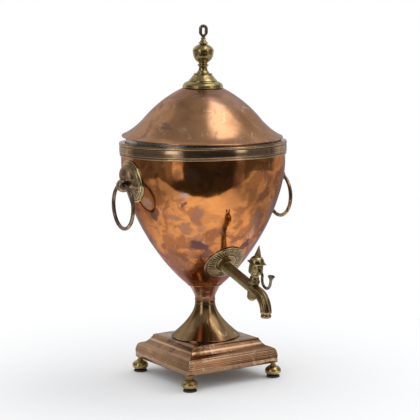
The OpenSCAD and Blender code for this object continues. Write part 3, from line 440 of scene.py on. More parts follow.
def unrolled(tree, place, ragged):
    """Turn, height and radius of a place, pushed about by noise of so many mm."""
    noise = node(tree, "TexNoise", {"Vector": place, "Scale": 75.0, "Detail": 3.0}).outputs[1]
    push = node(tree, "VectorMath", {0: noise, 1: (0.5, 0.5, 0.5)}, operation="SUBTRACT")
    push = node(tree, "VectorMath", {0: push.outputs[0], "Scale": 2 * ragged * MM},
                operation="SCALE").outputs[0]
    moved = node(tree, "VectorMath", {0: place, 1: push}, operation="ADD").outputs[0]
    x, y, z = node(tree, "SeparateXYZ", {0: moved}).outputs
    radius = sums(tree, "SQRT", sums(tree, "MULTIPLY_ADD", x, x, sums(tree, "MULTIPLY", y, y)))
    return node(tree, "CombineXYZ", {0: sums(tree, "ARCTAN2", y, x), 1: z, 2: radius}).outputs[0]


one_spot = spot_group()
print("spot group with", len(one_spot.nodes), "nodes")

# %% [markdown]
# A finish is then one call. The metal itself, its bump and anything that is the same all over
# stay on the material's own sockets. Some pieces carry a wear attribute, painted where edges
# stand proud; there the colour turns towards bare bright metal. On the plinth this attribute
# also holds a painted highlight, a bright line along the hollow.

# %% One finish, many numbers
# Colours for spots. Most are stains; the gilt colour and one thin pale line on the bowl paint
# highlights.
SPOT_COLOURS = {"violet": (0.155, 0.075, 0.07), "rust": (0.33, 0.12, 0.05),
                "smoke": (0.30, 0.17, 0.12), "lilac": (0.62, 0.40, 0.34),
                "pale": (0.93, 0.66, 0.50), "clean": (0.88, 0.345, 0.105),
                "gilt_highlight": (0.88, 0.70, 0.34)}


def metal(name, ground, stain, blotch, bare, uneven=0.3, sheen_and_wear=0.0, more=None, rim=None,
          lines=0.0, spots=(), ragged=6.0, **numbers):
    """A metal of the aged group. uneven is the height of its waves in mm, more is (from height,
    to height, amount) where blotches gather, rim tints what is seen edge-on, lines is the
    depth of turning marks, and spots are (turn, height, half width, half height, tilt, colour,
    strength) in degrees and mm."""
    material, tree = new_material(name)
    place = node(tree, "TexCoord").outputs["Object"]
    aged = node(tree, "Group", {}, node_tree=aged_metal)
    tree.links.new(place, aged.inputs["Vector"])
    for label, colour in [("Ground", ground), ("Stain", stain), ("Blotch", blotch),
                          ("Bare", bare)]:
        aged.inputs[label].default_value = (*colour, 1)
    for label, value in numbers.items():
        aged.inputs[label.replace("_", " ").capitalize()].default_value = value
    if sheen_and_wear:
        edge = node(tree, "Attribute", attribute_name="wear_and_sheen").outputs["Fac"]
        tree.links.new(sums(tree, "MULTIPLY", edge, sheen_and_wear), aged.inputs["Wear and sheen"])
    upright = node(tree, "SeparateXYZ", {0: place}).outputs["Z"]
    if more:
        gathered = smooth(tree, upright, more[0] * MM, more[1] * MM)
        tree.links.new(sums(tree, "MULTIPLY", gathered, more[2]), aged.inputs["More blotch"])
    colour, height = aged.outputs["Color"], aged.outputs["Height"]
    flat = unrolled(tree, place, ragged) if spots else None
    for turn, up, wide, tall, tilt, kind, strength in spots:
        spot = node(tree, "Group", {}, node_tree=one_spot)
        tree.links.new(flat, spot.inputs["Unrolled"])
        for label, value in [("Turn", math.radians(turn)), ("Up", up * MM), ("Wide", wide * MM),
                             ("Tall", tall * MM), ("Tilt", -math.radians(tilt)),
                             ("Strength", strength)]:
            spot.inputs[label].default_value = value
        colour = node(tree, "Mix", {0: spot.outputs[0], 6: colour,
                                    7: (*SPOT_COLOURS[kind], 1)}, data_type="RGBA").outputs[2]
    if lines:
        turning = node(tree, "TexNoise", {"W": upright, "Scale": 900.0, "Detail": 2.0},
                       noise_dimensions="1D").outputs[0]
        height = sums(tree, "MULTIPLY_ADD", turning, lines, height)
    bump = node(tree, "Bump", {"Height": height, "Distance": uneven * MM})
    face = node(tree, "BsdfPrincipled", {
        "Base Color": colour, "Roughness": aged.outputs["Roughness"],
        "Metallic": 1.0, "Normal": bump.outputs["Normal"]})
    if rim:
        face.inputs["Specular Tint"].default_value = (*rim, 1)
    show(tree, face)
    return material


BARE_COPPER = (0.93, 0.66, 0.50)
BARE_BRASS = (0.92, 0.74, 0.42)
print("colours for spots:", ", ".join(SPOT_COLOURS))

# %% [markdown]
# ## Turning on the lathe
# Bowl, lid, stem, feet and finial are all round, so one helper makes them the way a turner does:
# a single point is pushed along the outline, corner by corner, and the finished outline is spun
# about the upright axis. The plane that it starts from is only a way to get that first point.
# After the spin the doubled points are merged and the faces are turned outwards.

# %% Selecting
def clear_selection():
    """Leaves edit mode and deselects everything, because operators act on all that is selected."""
    if bpy.context.object and bpy.context.object.mode != "OBJECT":
        bpy.ops.object.mode_set(mode="OBJECT")
    bpy.ops.object.select_all(action="DESELECT")


def pick(piece):
    """Makes one piece selected and active."""
    clear_selection()
    piece.select_set(True)
    bpy.context.view_layer.objects.active = piece


def mark(piece, edge_test=None, vertex_test=None):
    """Selects only the edges or vertices that pass a test on their places, and nothing else."""
    mesh = piece.data
    for part in (*mesh.polygons, *mesh.edges, *mesh.vertices):
        part.select = False
    for edge in mesh.edges if edge_test else ():
        ends = [mesh.vertices[v].co for v in edge.vertices]
        if edge_test(*ends):
            edge.select = True
            for v in edge.vertices:
                mesh.vertices[v].select = True
    for vertex in mesh.vertices if vertex_test else ():
        vertex.select = vertex_test(vertex.co)
    bpy.ops.object.mode_set(mode="EDIT")
    bpy.ops.mesh.select_mode(type="EDGE" if edge_test else "VERT")


print("selection helpers ready")


# %% Outlines
def spread(start, end, count):
    """Evenly spaced values from start to end."""
    return [start + (end - start) * i / count for i in range(count + 1)]


def arc(x, z, radius_x, radius_z, start, end, count):
    """Points of an arc in an outline, angles in degrees from level outwards."""
    return [(x + radius_x * math.cos(math.radians(a)), z + radius_z * math.sin(math.radians(a)))
            for a in spread(start, end, count)]


print("a quarter circle in 3 steps:", arc(0, 0, 1, 1, 0, 90, 3)[1:-1])


# %% Spinning
def outline_edge(name, outline):
    """A chain of edges along an outline of (radius, height) in mm, left in edit mode."""
    clear_selection()
    bpy.ops.mesh.primitive_plane_add(size=MM)
    piece = bpy.context.object
    piece.name = piece.data.name = name
    bpy.ops.object.mode_set(mode="EDIT")
    bpy.ops.mesh.select_mode(type="VERT")
    bpy.ops.mesh.select_all(action="SELECT")
    bpy.ops.mesh.merge(type="CENTER")
    bpy.ops.transform.translate(value=(outline[0][0] * MM, 0, outline[0][1] * MM))
    for here, there in zip(outline, outline[1:]):
        step = ((there[0] - here[0]) * MM, 0, (there[1] - here[1]) * MM)
        bpy.ops.mesh.extrude_region_move(TRANSFORM_OT_translate={"value": step})
    bpy.ops.mesh.select_all(action="SELECT")
    return piece


def tidy_shell(piece, crease):
    """Merges doubled points, turns faces outwards and smooths all but the sharp edges."""
    bpy.ops.mesh.select_all(action="SELECT")
    bpy.ops.mesh.remove_doubles(threshold=0.004 * MM)
    bpy.ops.mesh.normals_make_consistent(inside=False)
    bpy.ops.object.mode_set(mode="OBJECT")
    pick(piece)
    bpy.ops.object.shade_smooth_by_angle(angle=math.radians(crease))
    return piece


def turned(name, outline, sides=96, crease=30):
    """Spins an outline about the Z axis. A closed outline gives a hollow or ring-shaped piece."""
    piece = outline_edge(name, outline)
    bpy.ops.mesh.spin(steps=sides, angle=2 * math.pi, center=(0, 0, 0), axis=(0, 0, 1),
                      use_auto_merge=True)
    return tidy_shell(piece, crease)


print("lathe ready")

# %% [markdown]
# ## Placing, wearing and dressing
# A finished piece keeps its object at the origin and carries its place in its mesh, so every
# move is applied at once. Wear is painted from the mesh itself: where the edges round a point
# fall away from it, the point stands proud and is rubbed bright, and where they rise, dirt
# stays. Dressing gives a piece its metal and ties it to its body and to the solid it stands for.


# %% Placing
def shift(piece, matrix):
    """Moves a piece by a matrix in mm and applies it, so its object stays at the origin."""
    pick(piece)
    move = matrix.copy()
    move.translation = matrix.translation * MM
    piece.matrix_world = move
    bpy.ops.object.transform_apply(location=True, rotation=True, scale=True)
    return piece


def copy_of(piece, name):
    """A copy with its own mesh."""
    twin = piece.copy()
    twin.data = piece.data.copy()
    twin.name = twin.data.name = name
    bpy.context.scene.collection.objects.link(twin)
    return twin


def join(name, *pieces):
    """Joins pieces into one object."""
    pick(pieces[0])
    for piece in pieces[1:]:
        piece.select_set(True)
    bpy.ops.object.join()
    pieces[0].name = pieces[0].data.name = name
    return pieces[0]


print("placing helpers ready")


# %% Wearing and dressing
def wear_edges(piece, low=0.05, high=0.34):
    """Paints a wear attribute: 1 on edges that stand proud, 0 on flats, -1 in hollows."""
    mesh = piece.data
    stands, count = [0.0] * len(mesh.vertices), [0] * len(mesh.vertices)
    for edge in mesh.edges:
        for here, there in [edge.vertices, reversed(edge.vertices)]:
            way = mesh.vertices[there].co - mesh.vertices[here].co
            stands[here] -= way.normalized().dot(mesh.vertices[here].normal)
            count[here] += 1
    wear_and_sheen = mesh.attributes.new("wear_and_sheen", "FLOAT", "POINT")
    proud = [s / max(1, n) for s, n in zip(stands, count)]
    wear_and_sheen.data.foreach_set("value", [
        math.copysign(max(0.0, min(1.0, (abs(s) - low) / (high - low))), s) for s in proud])
    return piece


def dress(piece, material, body, slot, *nodes):
    """Gives a finished piece its material and body, and hides the solid nodes it stands for. slot
    is not used.
    """
    piece.data.materials.clear()
    piece.data.materials.append(material)
    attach(piece, body)
    if nodes:
        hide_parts(*nodes)
    print(piece.name, len(piece.data.polygons), "faces")
    return piece


def raised(height, turn=0.0):
    """A matrix that lifts by a height in mm and turns about the upright axis."""
    return Matrix.Translation((0, 0, height)) @ Matrix.Rotation(math.radians(turn), 4, "Z")


print("wear, dress and raised ready")

# %% [markdown]
# ## Feet and pads
# Each foot is a flattened brass ball with a collar and a thin neck, on a black pad. One foot is
# turned and the other three are copies. They stand near the plinth's corners, and the whole
# base is turned three degrees under the bowl.

# %% Sizes of the base
FOOT_TOP = 21.5
PLINTH_WIDTH = 149.0
PLINTH_HEIGHT = 35.1
PLINTH_INSET = 21.4
FOOT_OUT = PLINTH_WIDTH / 2 - 5
BASE_TURN = 3.0
STEM_FOOT = FOOT_TOP + PLINTH_HEIGHT
STEM_HEIGHT = 51.8
NECK_FOOT = STEM_FOOT + STEM_HEIGHT
NECK_HEIGHT = 25.1
BOWL_FOOT = NECK_FOOT + NECK_HEIGHT + 0.3
print("bowl starts", round(BOWL_FOOT, 1), "mm over the table")

# %% [markdown]
# The feet are the yellowest brass on the urn, because a duster reaches them from all sides. The
# ground is light and warm, edges go nearly to gold, and small dark blotches stay in between.

# %% Brass of the feet
brass_foot = metal("brass_foot", (0.60, 0.45, 0.16), (0.40, 0.26, 0.11), (0.20, 0.14, 0.06),
                   BARE_BRASS, uneven=0.1, sheen_and_wear=0.3, stain_size=0.02, stain_cover=0.45,
                   blotch_size=0.01, blotch_cover=0.25, scuff_cover=0.1, polish=0.2,
                   dullness=0.36, seed=14.0)
print("finish:", brass_foot.name)

# %% Foot and pad
PAD_TOP = 2.5
BALL_MIDDLE = PAD_TOP + 6.9
BALL_RADIUS = 11.7
foot_outline = [(0, PAD_TOP), (4, PAD_TOP)]
foot_outline += arc(0, BALL_MIDDLE, BALL_RADIUS, 7.6, -64, 62, 26) + [(5.2, 16.3)]
foot_outline += arc(3.6, 17.1, 1.1, 0.8, -80, 85, 6)
foot_outline += [(3.3, 18.3), (3.1, 19.2), (3.4, 20.0), (4.3, 20.5), (4.3, FOOT_TOP),
                 (0, FOOT_TOP)]
foot = turned("foot", foot_outline, sides=48)
wear_edges(foot)
pad = turned("pad", [(0, 0), (9.2, 0), (9.6, 0.4), (9.5, 1.9), (9.0, PAD_TOP), (0, PAD_TOP)],
             sides=48)
print("foot", len(foot.data.polygons), "faces, pad", len(pad.data.polygons), "faces")

# %% [markdown]
# The pads are discs of old hide. They are matt and nearly black, so one noise is enough: it
# lightens the colour where dust lies and roughens the surface with the same grain.


# %% Black hide
def black_hide():
    """Old black hide: nearly black, a little dusty where the noise is high."""
    material, tree = new_material("black_pad")
    place = node(tree, "TexCoord").outputs["Object"]
    dust = node(tree, "TexNoise", {"Vector": place, "Scale": 240.0, "Detail": 4.0}).outputs[0]
    colour = node(tree, "Mix", {0: dust, 6: (0.012, 0.011, 0.010, 1), 7: (0.05, 0.045, 0.04, 1)},
                  data_type="RGBA").outputs[2]
    bump = node(tree, "Bump", {"Height": dust, "Distance": 0.2 * MM})
    face = node(tree, "BsdfPrincipled", {"Base Color": colour, "Roughness": 0.7,
                                         "Normal": bump.outputs["Normal"]})
    show(tree, face)
    return material


black_pad = black_hide()
print("finish:", black_pad.name)

# %% [markdown]
# Foot and pad are copied to the four corners. The first ones were only patterns, so they are
# removed, and the pads become one piece, since nothing ever moves them apart.

# %% Four feet
pads = []
for side, front, word in [(-1, -1, "front_left"), (1, -1, "front_right"),
                          (-1, 1, "rear_left"), (1, 1, "rear_right")]:
    place = raised(0, BASE_TURN) @ Matrix.Translation((side * FOOT_OUT, front * FOOT_OUT, 0))
    one = shift(copy_of(foot, "ball_foot_" + word), place)
    dress(one, brass_foot, "urn", "foot_brass", "foot_" + word)
    pads.append(shift(copy_of(pad, "pad_" + word), place))
bpy.data.objects.remove(foot)
bpy.data.objects.remove(pad)
dress(join("pads", *pads), black_pad, "urn", "foot_pad", "foot_pads")

# %% [markdown]
# ## The plinth
# The plinth is sheet copper folded to a square moulding with mitred corners: a plain skirt,
# three fine beads, a round shoulder, a long hollow curve and a small lip round the flat top.
# The middle of the hollow carries a painted highlight, a bright line put into the same wear
# attribute.
# A square loop is extruded up and scaled in again and again, as each level of the moulding is
# narrower. The mitres get a small bevel, and Solidify gives the sheet its thickness.

# %% [markdown]
# The plinth's copper has gone brown, since nobody polishes a base as often as a bowl. It is dull,
# with wide darker stains, and only its edges show the bright colour below. The bright line along
# the hollow is a painted highlight in that colour.

# %% Copper of the plinth
# The bare colour here also paints the highlight line along the hollow.
copper_plinth = metal("copper_plinth", (0.36, 0.185, 0.10), (0.25, 0.12, 0.06),
                      (0.13, 0.07, 0.045), (0.90, 0.60, 0.37), uneven=0.2, sheen_and_wear=0.42,
                      stain_size=0.045, stain_cover=0.4, blotch_size=0.024, blotch_cover=0.08,
                      blotch_edge=0.05, scuff_cover=0.03, polish=0.15, dullness=0.28, seed=8.0)
print("finish:", copper_plinth.name)

# %% Folding a square moulding
def moulded_square(name, half, outline, sheet):
    """A square sheet moulding. outline is (inset, height) in mm from the foot to the top."""
    clear_selection()
    bpy.ops.mesh.primitive_plane_add(size=2 * half * MM)
    piece = bpy.context.object
    piece.name = piece.data.name = name
    bpy.ops.object.mode_set(mode="EDIT")
    bpy.ops.mesh.delete(type="ONLY_FACE")
    bpy.ops.mesh.select_all(action="SELECT")
    width, height = half, 0.0
    for inset, up in outline:
        bpy.ops.mesh.extrude_region_move(
            TRANSFORM_OT_translate={"value": (0, 0, (up - height) * MM)})
        factor = (half - inset) / width
        bpy.ops.transform.resize(value=(factor, factor, 1), center_override=(0, 0, up * MM))
        width, height = half - inset, up
    bpy.ops.mesh.edge_face_add()
    bpy.ops.object.mode_set(mode="OBJECT")
    mark(piece, edge_test=lambda a, b: all(abs(abs(p.x) - abs(p.y)) < 0.01 * MM for p in (a, b))
         and (a.xy - b.xy).length < 0.02)
    bpy.ops.mesh.bevel(offset=0.9 * MM, segments=3, affect="EDGES")
    tidy_shell(piece, 24)
    wall = piece.modifiers.new("sheet", "SOLIDIFY")
    wall.thickness, wall.offset = sheet * MM, -1
    bpy.ops.object.modifier_apply(modifier=wall.name)
    return piece


print("square mouldings ready")

# %% [markdown]
# The outline is written from the foot up as the distance in from the skirt and the height. The
# shoulder is a quarter of an ellipse, and the hollow is a parabola that steepens to the lip.

# %% Plinth
PLINTH_SHEET = 1.2
SKIRT = 8.8
BEAD = 2.4
# height over the plinth's foot of a painted highlight, a bright line along the hollow
PAINTED_HIGHLIGHT_UP = 27.5
SHOULDER_RUN, SHOULDER_RISE = 8.2, 5.5
SHOULDER_FROM = SKIRT + 3 * BEAD
SHOULDER_TO = SHOULDER_FROM + SHOULDER_RISE
HOLLOW_RUN = PLINTH_INSET - 2.3 - SHOULDER_RUN
HOLLOW_RISE = PLINTH_HEIGHT - 2 - SHOULDER_TO
plinth_outline = [(0, SKIRT)]
for row in range(3):
    plinth_outline += arc(1.1 + 0.4 * row, SKIRT + (row + 0.5) * BEAD, -0.8, BEAD / 2, -75, 75, 6)
plinth_outline += arc(SHOULDER_RUN, SHOULDER_FROM, 1.6 - SHOULDER_RUN, SHOULDER_RISE, 10, 90, 12)
plinth_outline += [(SHOULDER_RUN + HOLLOW_RUN * u,
                    SHOULDER_TO + HOLLOW_RISE * (0.35 * u + 0.65 * u * u))
                   for u in spread(0.06, 1, 24)]
plinth_outline += [(PLINTH_INSET - 2.2, PLINTH_HEIGHT - 1.2),
                   (PLINTH_INSET - 0.5, PLINTH_HEIGHT - 1.15),
                   (PLINTH_INSET, PLINTH_HEIGHT)]
plinth = moulded_square("plinth", PLINTH_WIDTH / 2, plinth_outline, PLINTH_SHEET)
shift(plinth, raised(FOOT_TOP, BASE_TURN))
wear_edges(plinth, 0.1, 0.5)
# A painted highlight: the wear attribute is set bright along a line in the middle of the hollow.
for vertex, sheen_and_wear in zip(plinth.data.vertices, plinth.data.attributes["wear_and_sheen"].data):
    away = abs(vertex.co.z / MM - FOOT_TOP - PAINTED_HIGHLIGHT_UP) / 1.7
    sheen_and_wear.value = max(sheen_and_wear.value, 2.2 * (1 - away))
dress(plinth, copper_plinth, "urn", "plinth_copper", "plinth_shell")

# %% [markdown]
# ## Stem and neck
# The brass stem sweeps up like a trumpet from the plinth, and a short copper neck opens again
# to meet the bowl. Both are turned hollow, with a fine bead on each joint.

# %% [markdown]
# The stem is a darker brass than the feet, well polished and with few blotches, because a plain
# trumpet is easy to wipe. The copper neck sits in the shade below the bowl and stays brown.

# %% Metals of stem and neck
brass_stem = metal("brass_stem", (0.40, 0.26, 0.13), (0.30, 0.175, 0.08), (0.30, 0.13, 0.07),
                   BARE_BRASS, uneven=0.15, rim=(0.55, 0.55, 0.58), stain_size=0.06,
                   stain_cover=0.4, blotch_size=0.03, blotch_cover=-0.1, blotch_edge=0.06,
                   scuff_cover=-0.05, polish=0.14, dullness=0.24, seed=10.0)
copper_neck = metal("copper_neck", (0.46, 0.22, 0.12), (0.28, 0.13, 0.07), (0.18, 0.10, 0.07),
                    BARE_COPPER, uneven=0.3, stain_size=0.04, stain_cover=0.5,
                    blotch_size=0.02, blotch_cover=0.2, polish=0.2, dullness=0.34, seed=6.0)
print("finish:", brass_stem.name, copper_neck.name)

# %% Stem and neck
STEM_WAIST = 14.5
STEM_FOOT_RADIUS = PLINTH_WIDTH / 2 - PLINTH_INSET - 4


def stem_at(up):
    """The stem's radius at a height above its foot."""
    left = max(0.0, STEM_HEIGHT - 3.4 - up) / (STEM_HEIGHT - 5.4)
    return STEM_WAIST + (STEM_FOOT_RADIUS - STEM_WAIST) * left ** 1.7


stem_outline = [(STEM_FOOT_RADIUS - 2.2, 0), (STEM_FOOT_RADIUS - 0.2, 0),
                (STEM_FOOT_RADIUS, 0.3), (STEM_FOOT_RADIUS, 1.6)]
stem_outline += [(stem_at(up), up) for up in spread(2, STEM_HEIGHT - 3.4, 46)]
stem_outline += [(STEM_WAIST, STEM_HEIGHT - 1.2), (STEM_WAIST - 0.4, STEM_HEIGHT - 0.5),
                 (5, STEM_HEIGHT - 0.5)]
stem_outline += [(max(5, stem_at(up + 2.2) - 2.2), up) for up in spread(STEM_HEIGHT - 12, 0, 20)]
stem = shift(turned("stem_trumpet", stem_outline, sides=128), raised(STEM_FOOT, BASE_TURN))
dress(stem, brass_stem, "urn", "stem_brass", "stem")

NECK_RADIUS = 24.8


def neck_at(up):
    """The neck's radius at a height above the stem."""
    return STEM_WAIST + (NECK_RADIUS - STEM_WAIST) * (max(0, up - 5.6) / 19.5) ** 1.3


neck_outline = [(STEM_WAIST - 1.6, 0.2), (STEM_WAIST, 0.2)]
neck_outline += arc(STEM_WAIST - 0.2, 0.9, 0.6, 0.6, -70, 70, 6)
neck_outline += [(neck_at(up), up) for up in spread(1.8, NECK_HEIGHT - 2.2, 24)]
neck_outline += arc(NECK_RADIUS - 0.4, NECK_HEIGHT - 1.1, 1.1, 1.1, -70, 90, 8)
neck_outline += [(NECK_RADIUS - 1.8, NECK_HEIGHT)]
neck_outline += [(neck_at(up) - 1.6, up) for up in spread(NECK_HEIGHT - 2.4, 0.2, 10)]
neck = shift(turned("neck", neck_outline, sides=96), raised(NECK_FOOT, BASE_TURN))
dress(neck, copper_neck, "urn", "neck_copper", "bowl_neck_ring")

# %% [markdown]
# ## The bowl
# The bowl's outline is one smooth curve, full at the shoulder and drawn in to the neck. Copper
# is a mirror, and a mirror shows every kink, so this outline has many short steps, closer
# together at the foot, where the curve is tightest. The inside is tinned, a soft grey.

# %% [markdown]
# The bowl is the brightest copper, deep orange where it is clean. Its stains gather towards the
# foot, where tea and water run down, so the cover of the blotches grows from top to bottom. The
# large stains are listed spots: purple where the heat has coloured the metal, brown in the
# drips, lilac where the polish has clouded, and a clean stretch across the front.

# %% Copper of the bowl
bowl_spots = [
    (-106, 262, 34, 13, 0, "clean", 0.75), (-112, 240, 16, 14, 0, "clean", 0.5),
    (-123, 199, 14, 8, -18, "violet", 0.95), (-116, 185, 7, 10, -25, "violet", 0.8),
    (-113, 216, 11, 7, 15, "rust", 0.6), (-134, 227, 8, 9, 0, "smoke", 0.65),
    (-124, 244, 7, 13, -35, "smoke", 0.55), (-121, 229, 7, 8, 0, "smoke", 0.5),
    (-144, 241, 10, 4, 0, "smoke", 0.6), (-160, 243, 9, 7, 0, "violet", 0.8),
    (-165, 258, 10, 6, 0, "lilac", 0.6), (-133, 272, 7, 5, -30, "lilac", 0.75),
    (-133, 260, 3, 5, -35, "violet", 0.8), (-147, 257, 3, 11, -32, "rust", 0.6),
    (-70, 268, 13, 8, 20, "violet", 0.7), (-89, 228, 9, 5, 30, "rust", 0.7),
    (-69, 233, 10, 15, 28, "smoke", 0.7), (-73, 196, 9, 5, 20, "violet", 0.9),
    (-88, 208, 12, 3, 25, "rust", 0.7), (-81, 288, 18, 10, 30, "rust", 0.5),
    (-144, 185, 9, 4, 10, "rust", 0.8), (-166, 196, 5, 8, -35, "rust", 0.8),
    (-152, 287, 4, 15, -5, "rust", 0.65), (-125, 297, 11, 8, -40, "pale", 0.25),
    (-52, 245, 11, 17, 20, "lilac", 0.5), (-70, 214, 6, 11, 25, "lilac", 0.4),
    # painted highlight: a thin pale line on the bowl's seam just below the band
    (-67.5, 307, 0.7, 9, -15, "pale", 0.5)]
copper_bowl = metal("copper_bowl", (0.86, 0.335, 0.105), (0.42, 0.15, 0.06),
                    (0.31, 0.14, 0.10), BARE_COPPER, uneven=0.9, more=(285, 150, 0.85),
                    rim=(0.5, 0.5, 0.58), spots=bowl_spots, ragged=9,
                    stain_size=0.026, stain_cover=0.40, blotch_size=0.034,
                    blotch_cover=-0.32, blotch_edge=0.06, scuff_cover=-0.1, polish=0.08,
                    dullness=0.26, seed=2.0)
print("finish:", copper_bowl.name)

# %% Bowl
BOWL_RADIUS = 116.2
BOWL_STRAIGHT = 175.0
BOWL_WALL = 1.8
RIM_TOP = 337.3
BOWL_TOP = RIM_TOP - 1.7 - BOWL_FOOT


def bowl_at(up):
    """The bowl's outer radius at a height above its foot."""
    part = min(1.0, (up + 17) / 192)
    return BOWL_RADIUS * (1 - (1 - part) ** 1.668) ** 0.752


bowl_rows = [BOWL_STRAIGHT * t ** 1.4 for t in spread(0, 1, 84)]
bowl_outline = [(6, 0)] + [(bowl_at(up), up) for up in bowl_rows]
bowl_outline += [(BOWL_RADIUS, 188), (BOWL_RADIUS, BOWL_TOP),
                 (BOWL_RADIUS - BOWL_WALL, BOWL_TOP), (BOWL_RADIUS - BOWL_WALL, 188)]
bowl_outline += [(bowl_at(up) - BOWL_WALL, max(BOWL_WALL, up)) for up in reversed(bowl_rows[::2])]
bowl_outline += [(6, BOWL_WALL), (6, 0)]
bowl = shift(turned("bowl", bowl_outline, sides=192), raised(BOWL_FOOT))


def tin(name, light, dark, rough):
    """Old tinning: grey, blotched and dull."""
    return metal(name, light, dark, tuple(0.6 * c for c in dark), (0.72, 0.72, 0.70),
                 uneven=0.3, stain_size=0.05, stain_cover=0.5, blotch_size=0.02,
                 blotch_cover=0.25, blotch_edge=0.08, scuff_cover=0.1, polish=rough,
                 dullness=rough + 0.2, seed=30.0)


tin_lining = tin("tin_lining", (0.55, 0.55, 0.54), (0.38, 0.37, 0.35), 0.32)
dress(bowl, copper_bowl, "urn", "bowl_copper", "bowl_shell")
bowl.data.materials.append(tin_lining)
inside = 0
for face in bowl.data.polygons:
    out = Vector((face.center.x, face.center.y, 0))
    low_floor = face.center.z < (BOWL_FOOT + 3) * MM and face.normal.z > 0.5
    if face.normal.dot(out) < 0 and out.length > 0.01 or low_floor:
        face.material_index = 1
        inside += 1
print("bowl faces lined with tin:", inside)

# %% [markdown]
# ## The band round the mouth
# A brass band hides the bowl's raw edge. It is a stack of mouldings: a fat lower bead, a flat
# face with two fine lines, an upper bead and a flat ledge on which the lid's rim rests.

# %% [markdown]
# The band is brown brass whose fine raised lines are worn bright. The one dark spot is the seam
# where the band's two ends were soldered together.

# %% Brass of the band
brass_band = metal("brass_band", (0.46, 0.31, 0.19), (0.34, 0.21, 0.12), (0.22, 0.14, 0.08),
                   (0.90, 0.62, 0.38), uneven=0.12, sheen_and_wear=0.75, rim=(0.75, 0.75, 0.75),
                   spots=[(-67.8, 328, 0.5, 9, 0, "rust", 0.9)], ragged=0.6,
                   stain_size=0.05, stain_cover=0.4,
                   blotch_size=0.018, blotch_cover=0.12, scuff_cover=0.05, polish=0.15,
                   dullness=0.28, seed=12.0)
print("finish:", brass_band.name)

# %% Rim band
BAND_FACE = BOWL_RADIUS + 2.5
BAND_FOOT = RIM_TOP - 18.9
MOUTH = BAND_FACE - 8.2
band_outline = [(BOWL_RADIUS + 0.3, BAND_FOOT)]
band_outline += arc(BOWL_RADIUS + 0.7, BAND_FOOT + 1.1, 1.1, 1.1, -90, 80, 8)
band_outline += [(BOWL_RADIUS + 0.8, BAND_FOOT + 2.5), (BAND_FACE - 1.3, BAND_FOOT + 3.4)]
band_outline += arc(BAND_FACE - 1.0, BAND_FOOT + 4.2, 0.6, 0.7, -80, 80, 8)
band_outline += [(BAND_FACE - 0.9, BAND_FOOT + 5.1), (BAND_FACE - 0.4, BAND_FOOT + 5.5),
                 (BAND_FACE - 0.3, BAND_FOOT + 7), (BAND_FACE - 0.3, BAND_FOOT + 12.5),
                 (BAND_FACE - 0.5, RIM_TOP - 5.4), (BAND_FACE - 1.2, RIM_TOP - 5.0),
                 (BAND_FACE - 1.2, RIM_TOP - 4.5)]
band_outline += arc(BAND_FACE - 1.0, RIM_TOP - 2.8, 1.0, 1.5, -80, 80, 8)
band_outline += [(BAND_FACE - 1.1, RIM_TOP - 0.9), (BAND_FACE - 0.5, RIM_TOP - 0.5),
                 (BAND_FACE - 0.5, RIM_TOP - 0.1), (BAND_FACE - 0.9, RIM_TOP),
                 (MOUTH + 0.3, RIM_TOP), (MOUTH, RIM_TOP - 0.3), (MOUTH, RIM_TOP - 1.4),
                 (BOWL_RADIUS + 0.3, RIM_TOP - 1.4), (BOWL_RADIUS + 0.3, BAND_FOOT)]
band = turned("mouth_band", band_outline, sides=192, crease=24)
wear_edges(band, 0.02, 0.16)
dress(band, brass_band, "urn", "band_brass", "rim_band")

# %% [markdown]
# ## The lid
# The lid has a sloping brim, a wired edge and a dome that rises to a blunt point: its two sides
# are arcs whose centres lie beyond the axis. The point is cut flat where the finial sits. The
# lid was put back a little askew, so it is turned as usual and then tilted by a small angle.

# %% [markdown]
# The lid's copper is paler and less red than the bowl's, and half matt, so that lamps make wide
# soft patches on it instead of sharp ones. Two large spots cloud it: lilac high on the right
# and smoke below the finial.

# %% Copper of the lid
copper_lid = metal("copper_lid", (0.66, 0.345, 0.18), (0.46, 0.23, 0.115), (0.28, 0.17, 0.14),
                   BARE_COPPER, uneven=0.8, more=(385, 415, 0.2), rim=(0.7, 0.7, 0.74),
                   spots=[(-75, 398, 34, 16, 0, "lilac", 0.35),
                          (-105, 408, 30, 8, 0, "smoke", 0.5)],
                   stain_size=0.06, stain_cover=0.35, blotch_size=0.045, blotch_cover=-0.05,
                   blotch_edge=0.06, scuff_cover=-0.1, polish=0.19, dullness=0.32, seed=4.0)
print("finish:", copper_lid.name)

# %% Lid
LID_RADIUS = BOWL_RADIUS - 2.2
LID_TILT = math.radians(2.75)
DOME_EDGE = LID_RADIUS - 30
DOME_EDGE_UP = 24.4
DOME_RADIUS = 1.976 * DOME_EDGE
DOME_OFF = DOME_RADIUS * math.sin(math.radians(15.7))
DOME_MIDDLE = DOME_EDGE_UP - math.sqrt(DOME_RADIUS ** 2 - (DOME_EDGE + DOME_OFF) ** 2)
CAP_RADIUS = 28.8
LID_PLACE = (Matrix.Translation((0, 1.4, RIM_TOP + 0.3 + LID_RADIUS * math.sin(LID_TILT)))
             @ Matrix.Rotation(LID_TILT, 4, "X"))


def lid_line(inwards):
    """The lid's outline from brim to top, moved in by a thickness."""
    run, rise = LID_RADIUS - 0.8 - DOME_EDGE, DOME_EDGE_UP - 2
    line = []
    for u in spread(0, 0.94, 26):
        slope = math.atan(rise / run * (0.6 + 0.8 * u))
        line.append((LID_RADIUS - 0.8 - u * run - inwards * math.sin(slope),
                     2 + rise * (0.6 * u + 0.4 * u * u) - inwards * math.cos(slope)))
    edge, seat = [math.asin((r + DOME_OFF) / DOME_RADIUS) for r in (DOME_EDGE, CAP_RADIUS - 3)]
    for a in spread(edge, seat, 48):
        line.append(((DOME_RADIUS - inwards) * math.sin(a) - DOME_OFF,
                     DOME_MIDDLE + (DOME_RADIUS - inwards) * math.cos(a)))
    return line + [(3.4, line[-1][1])]


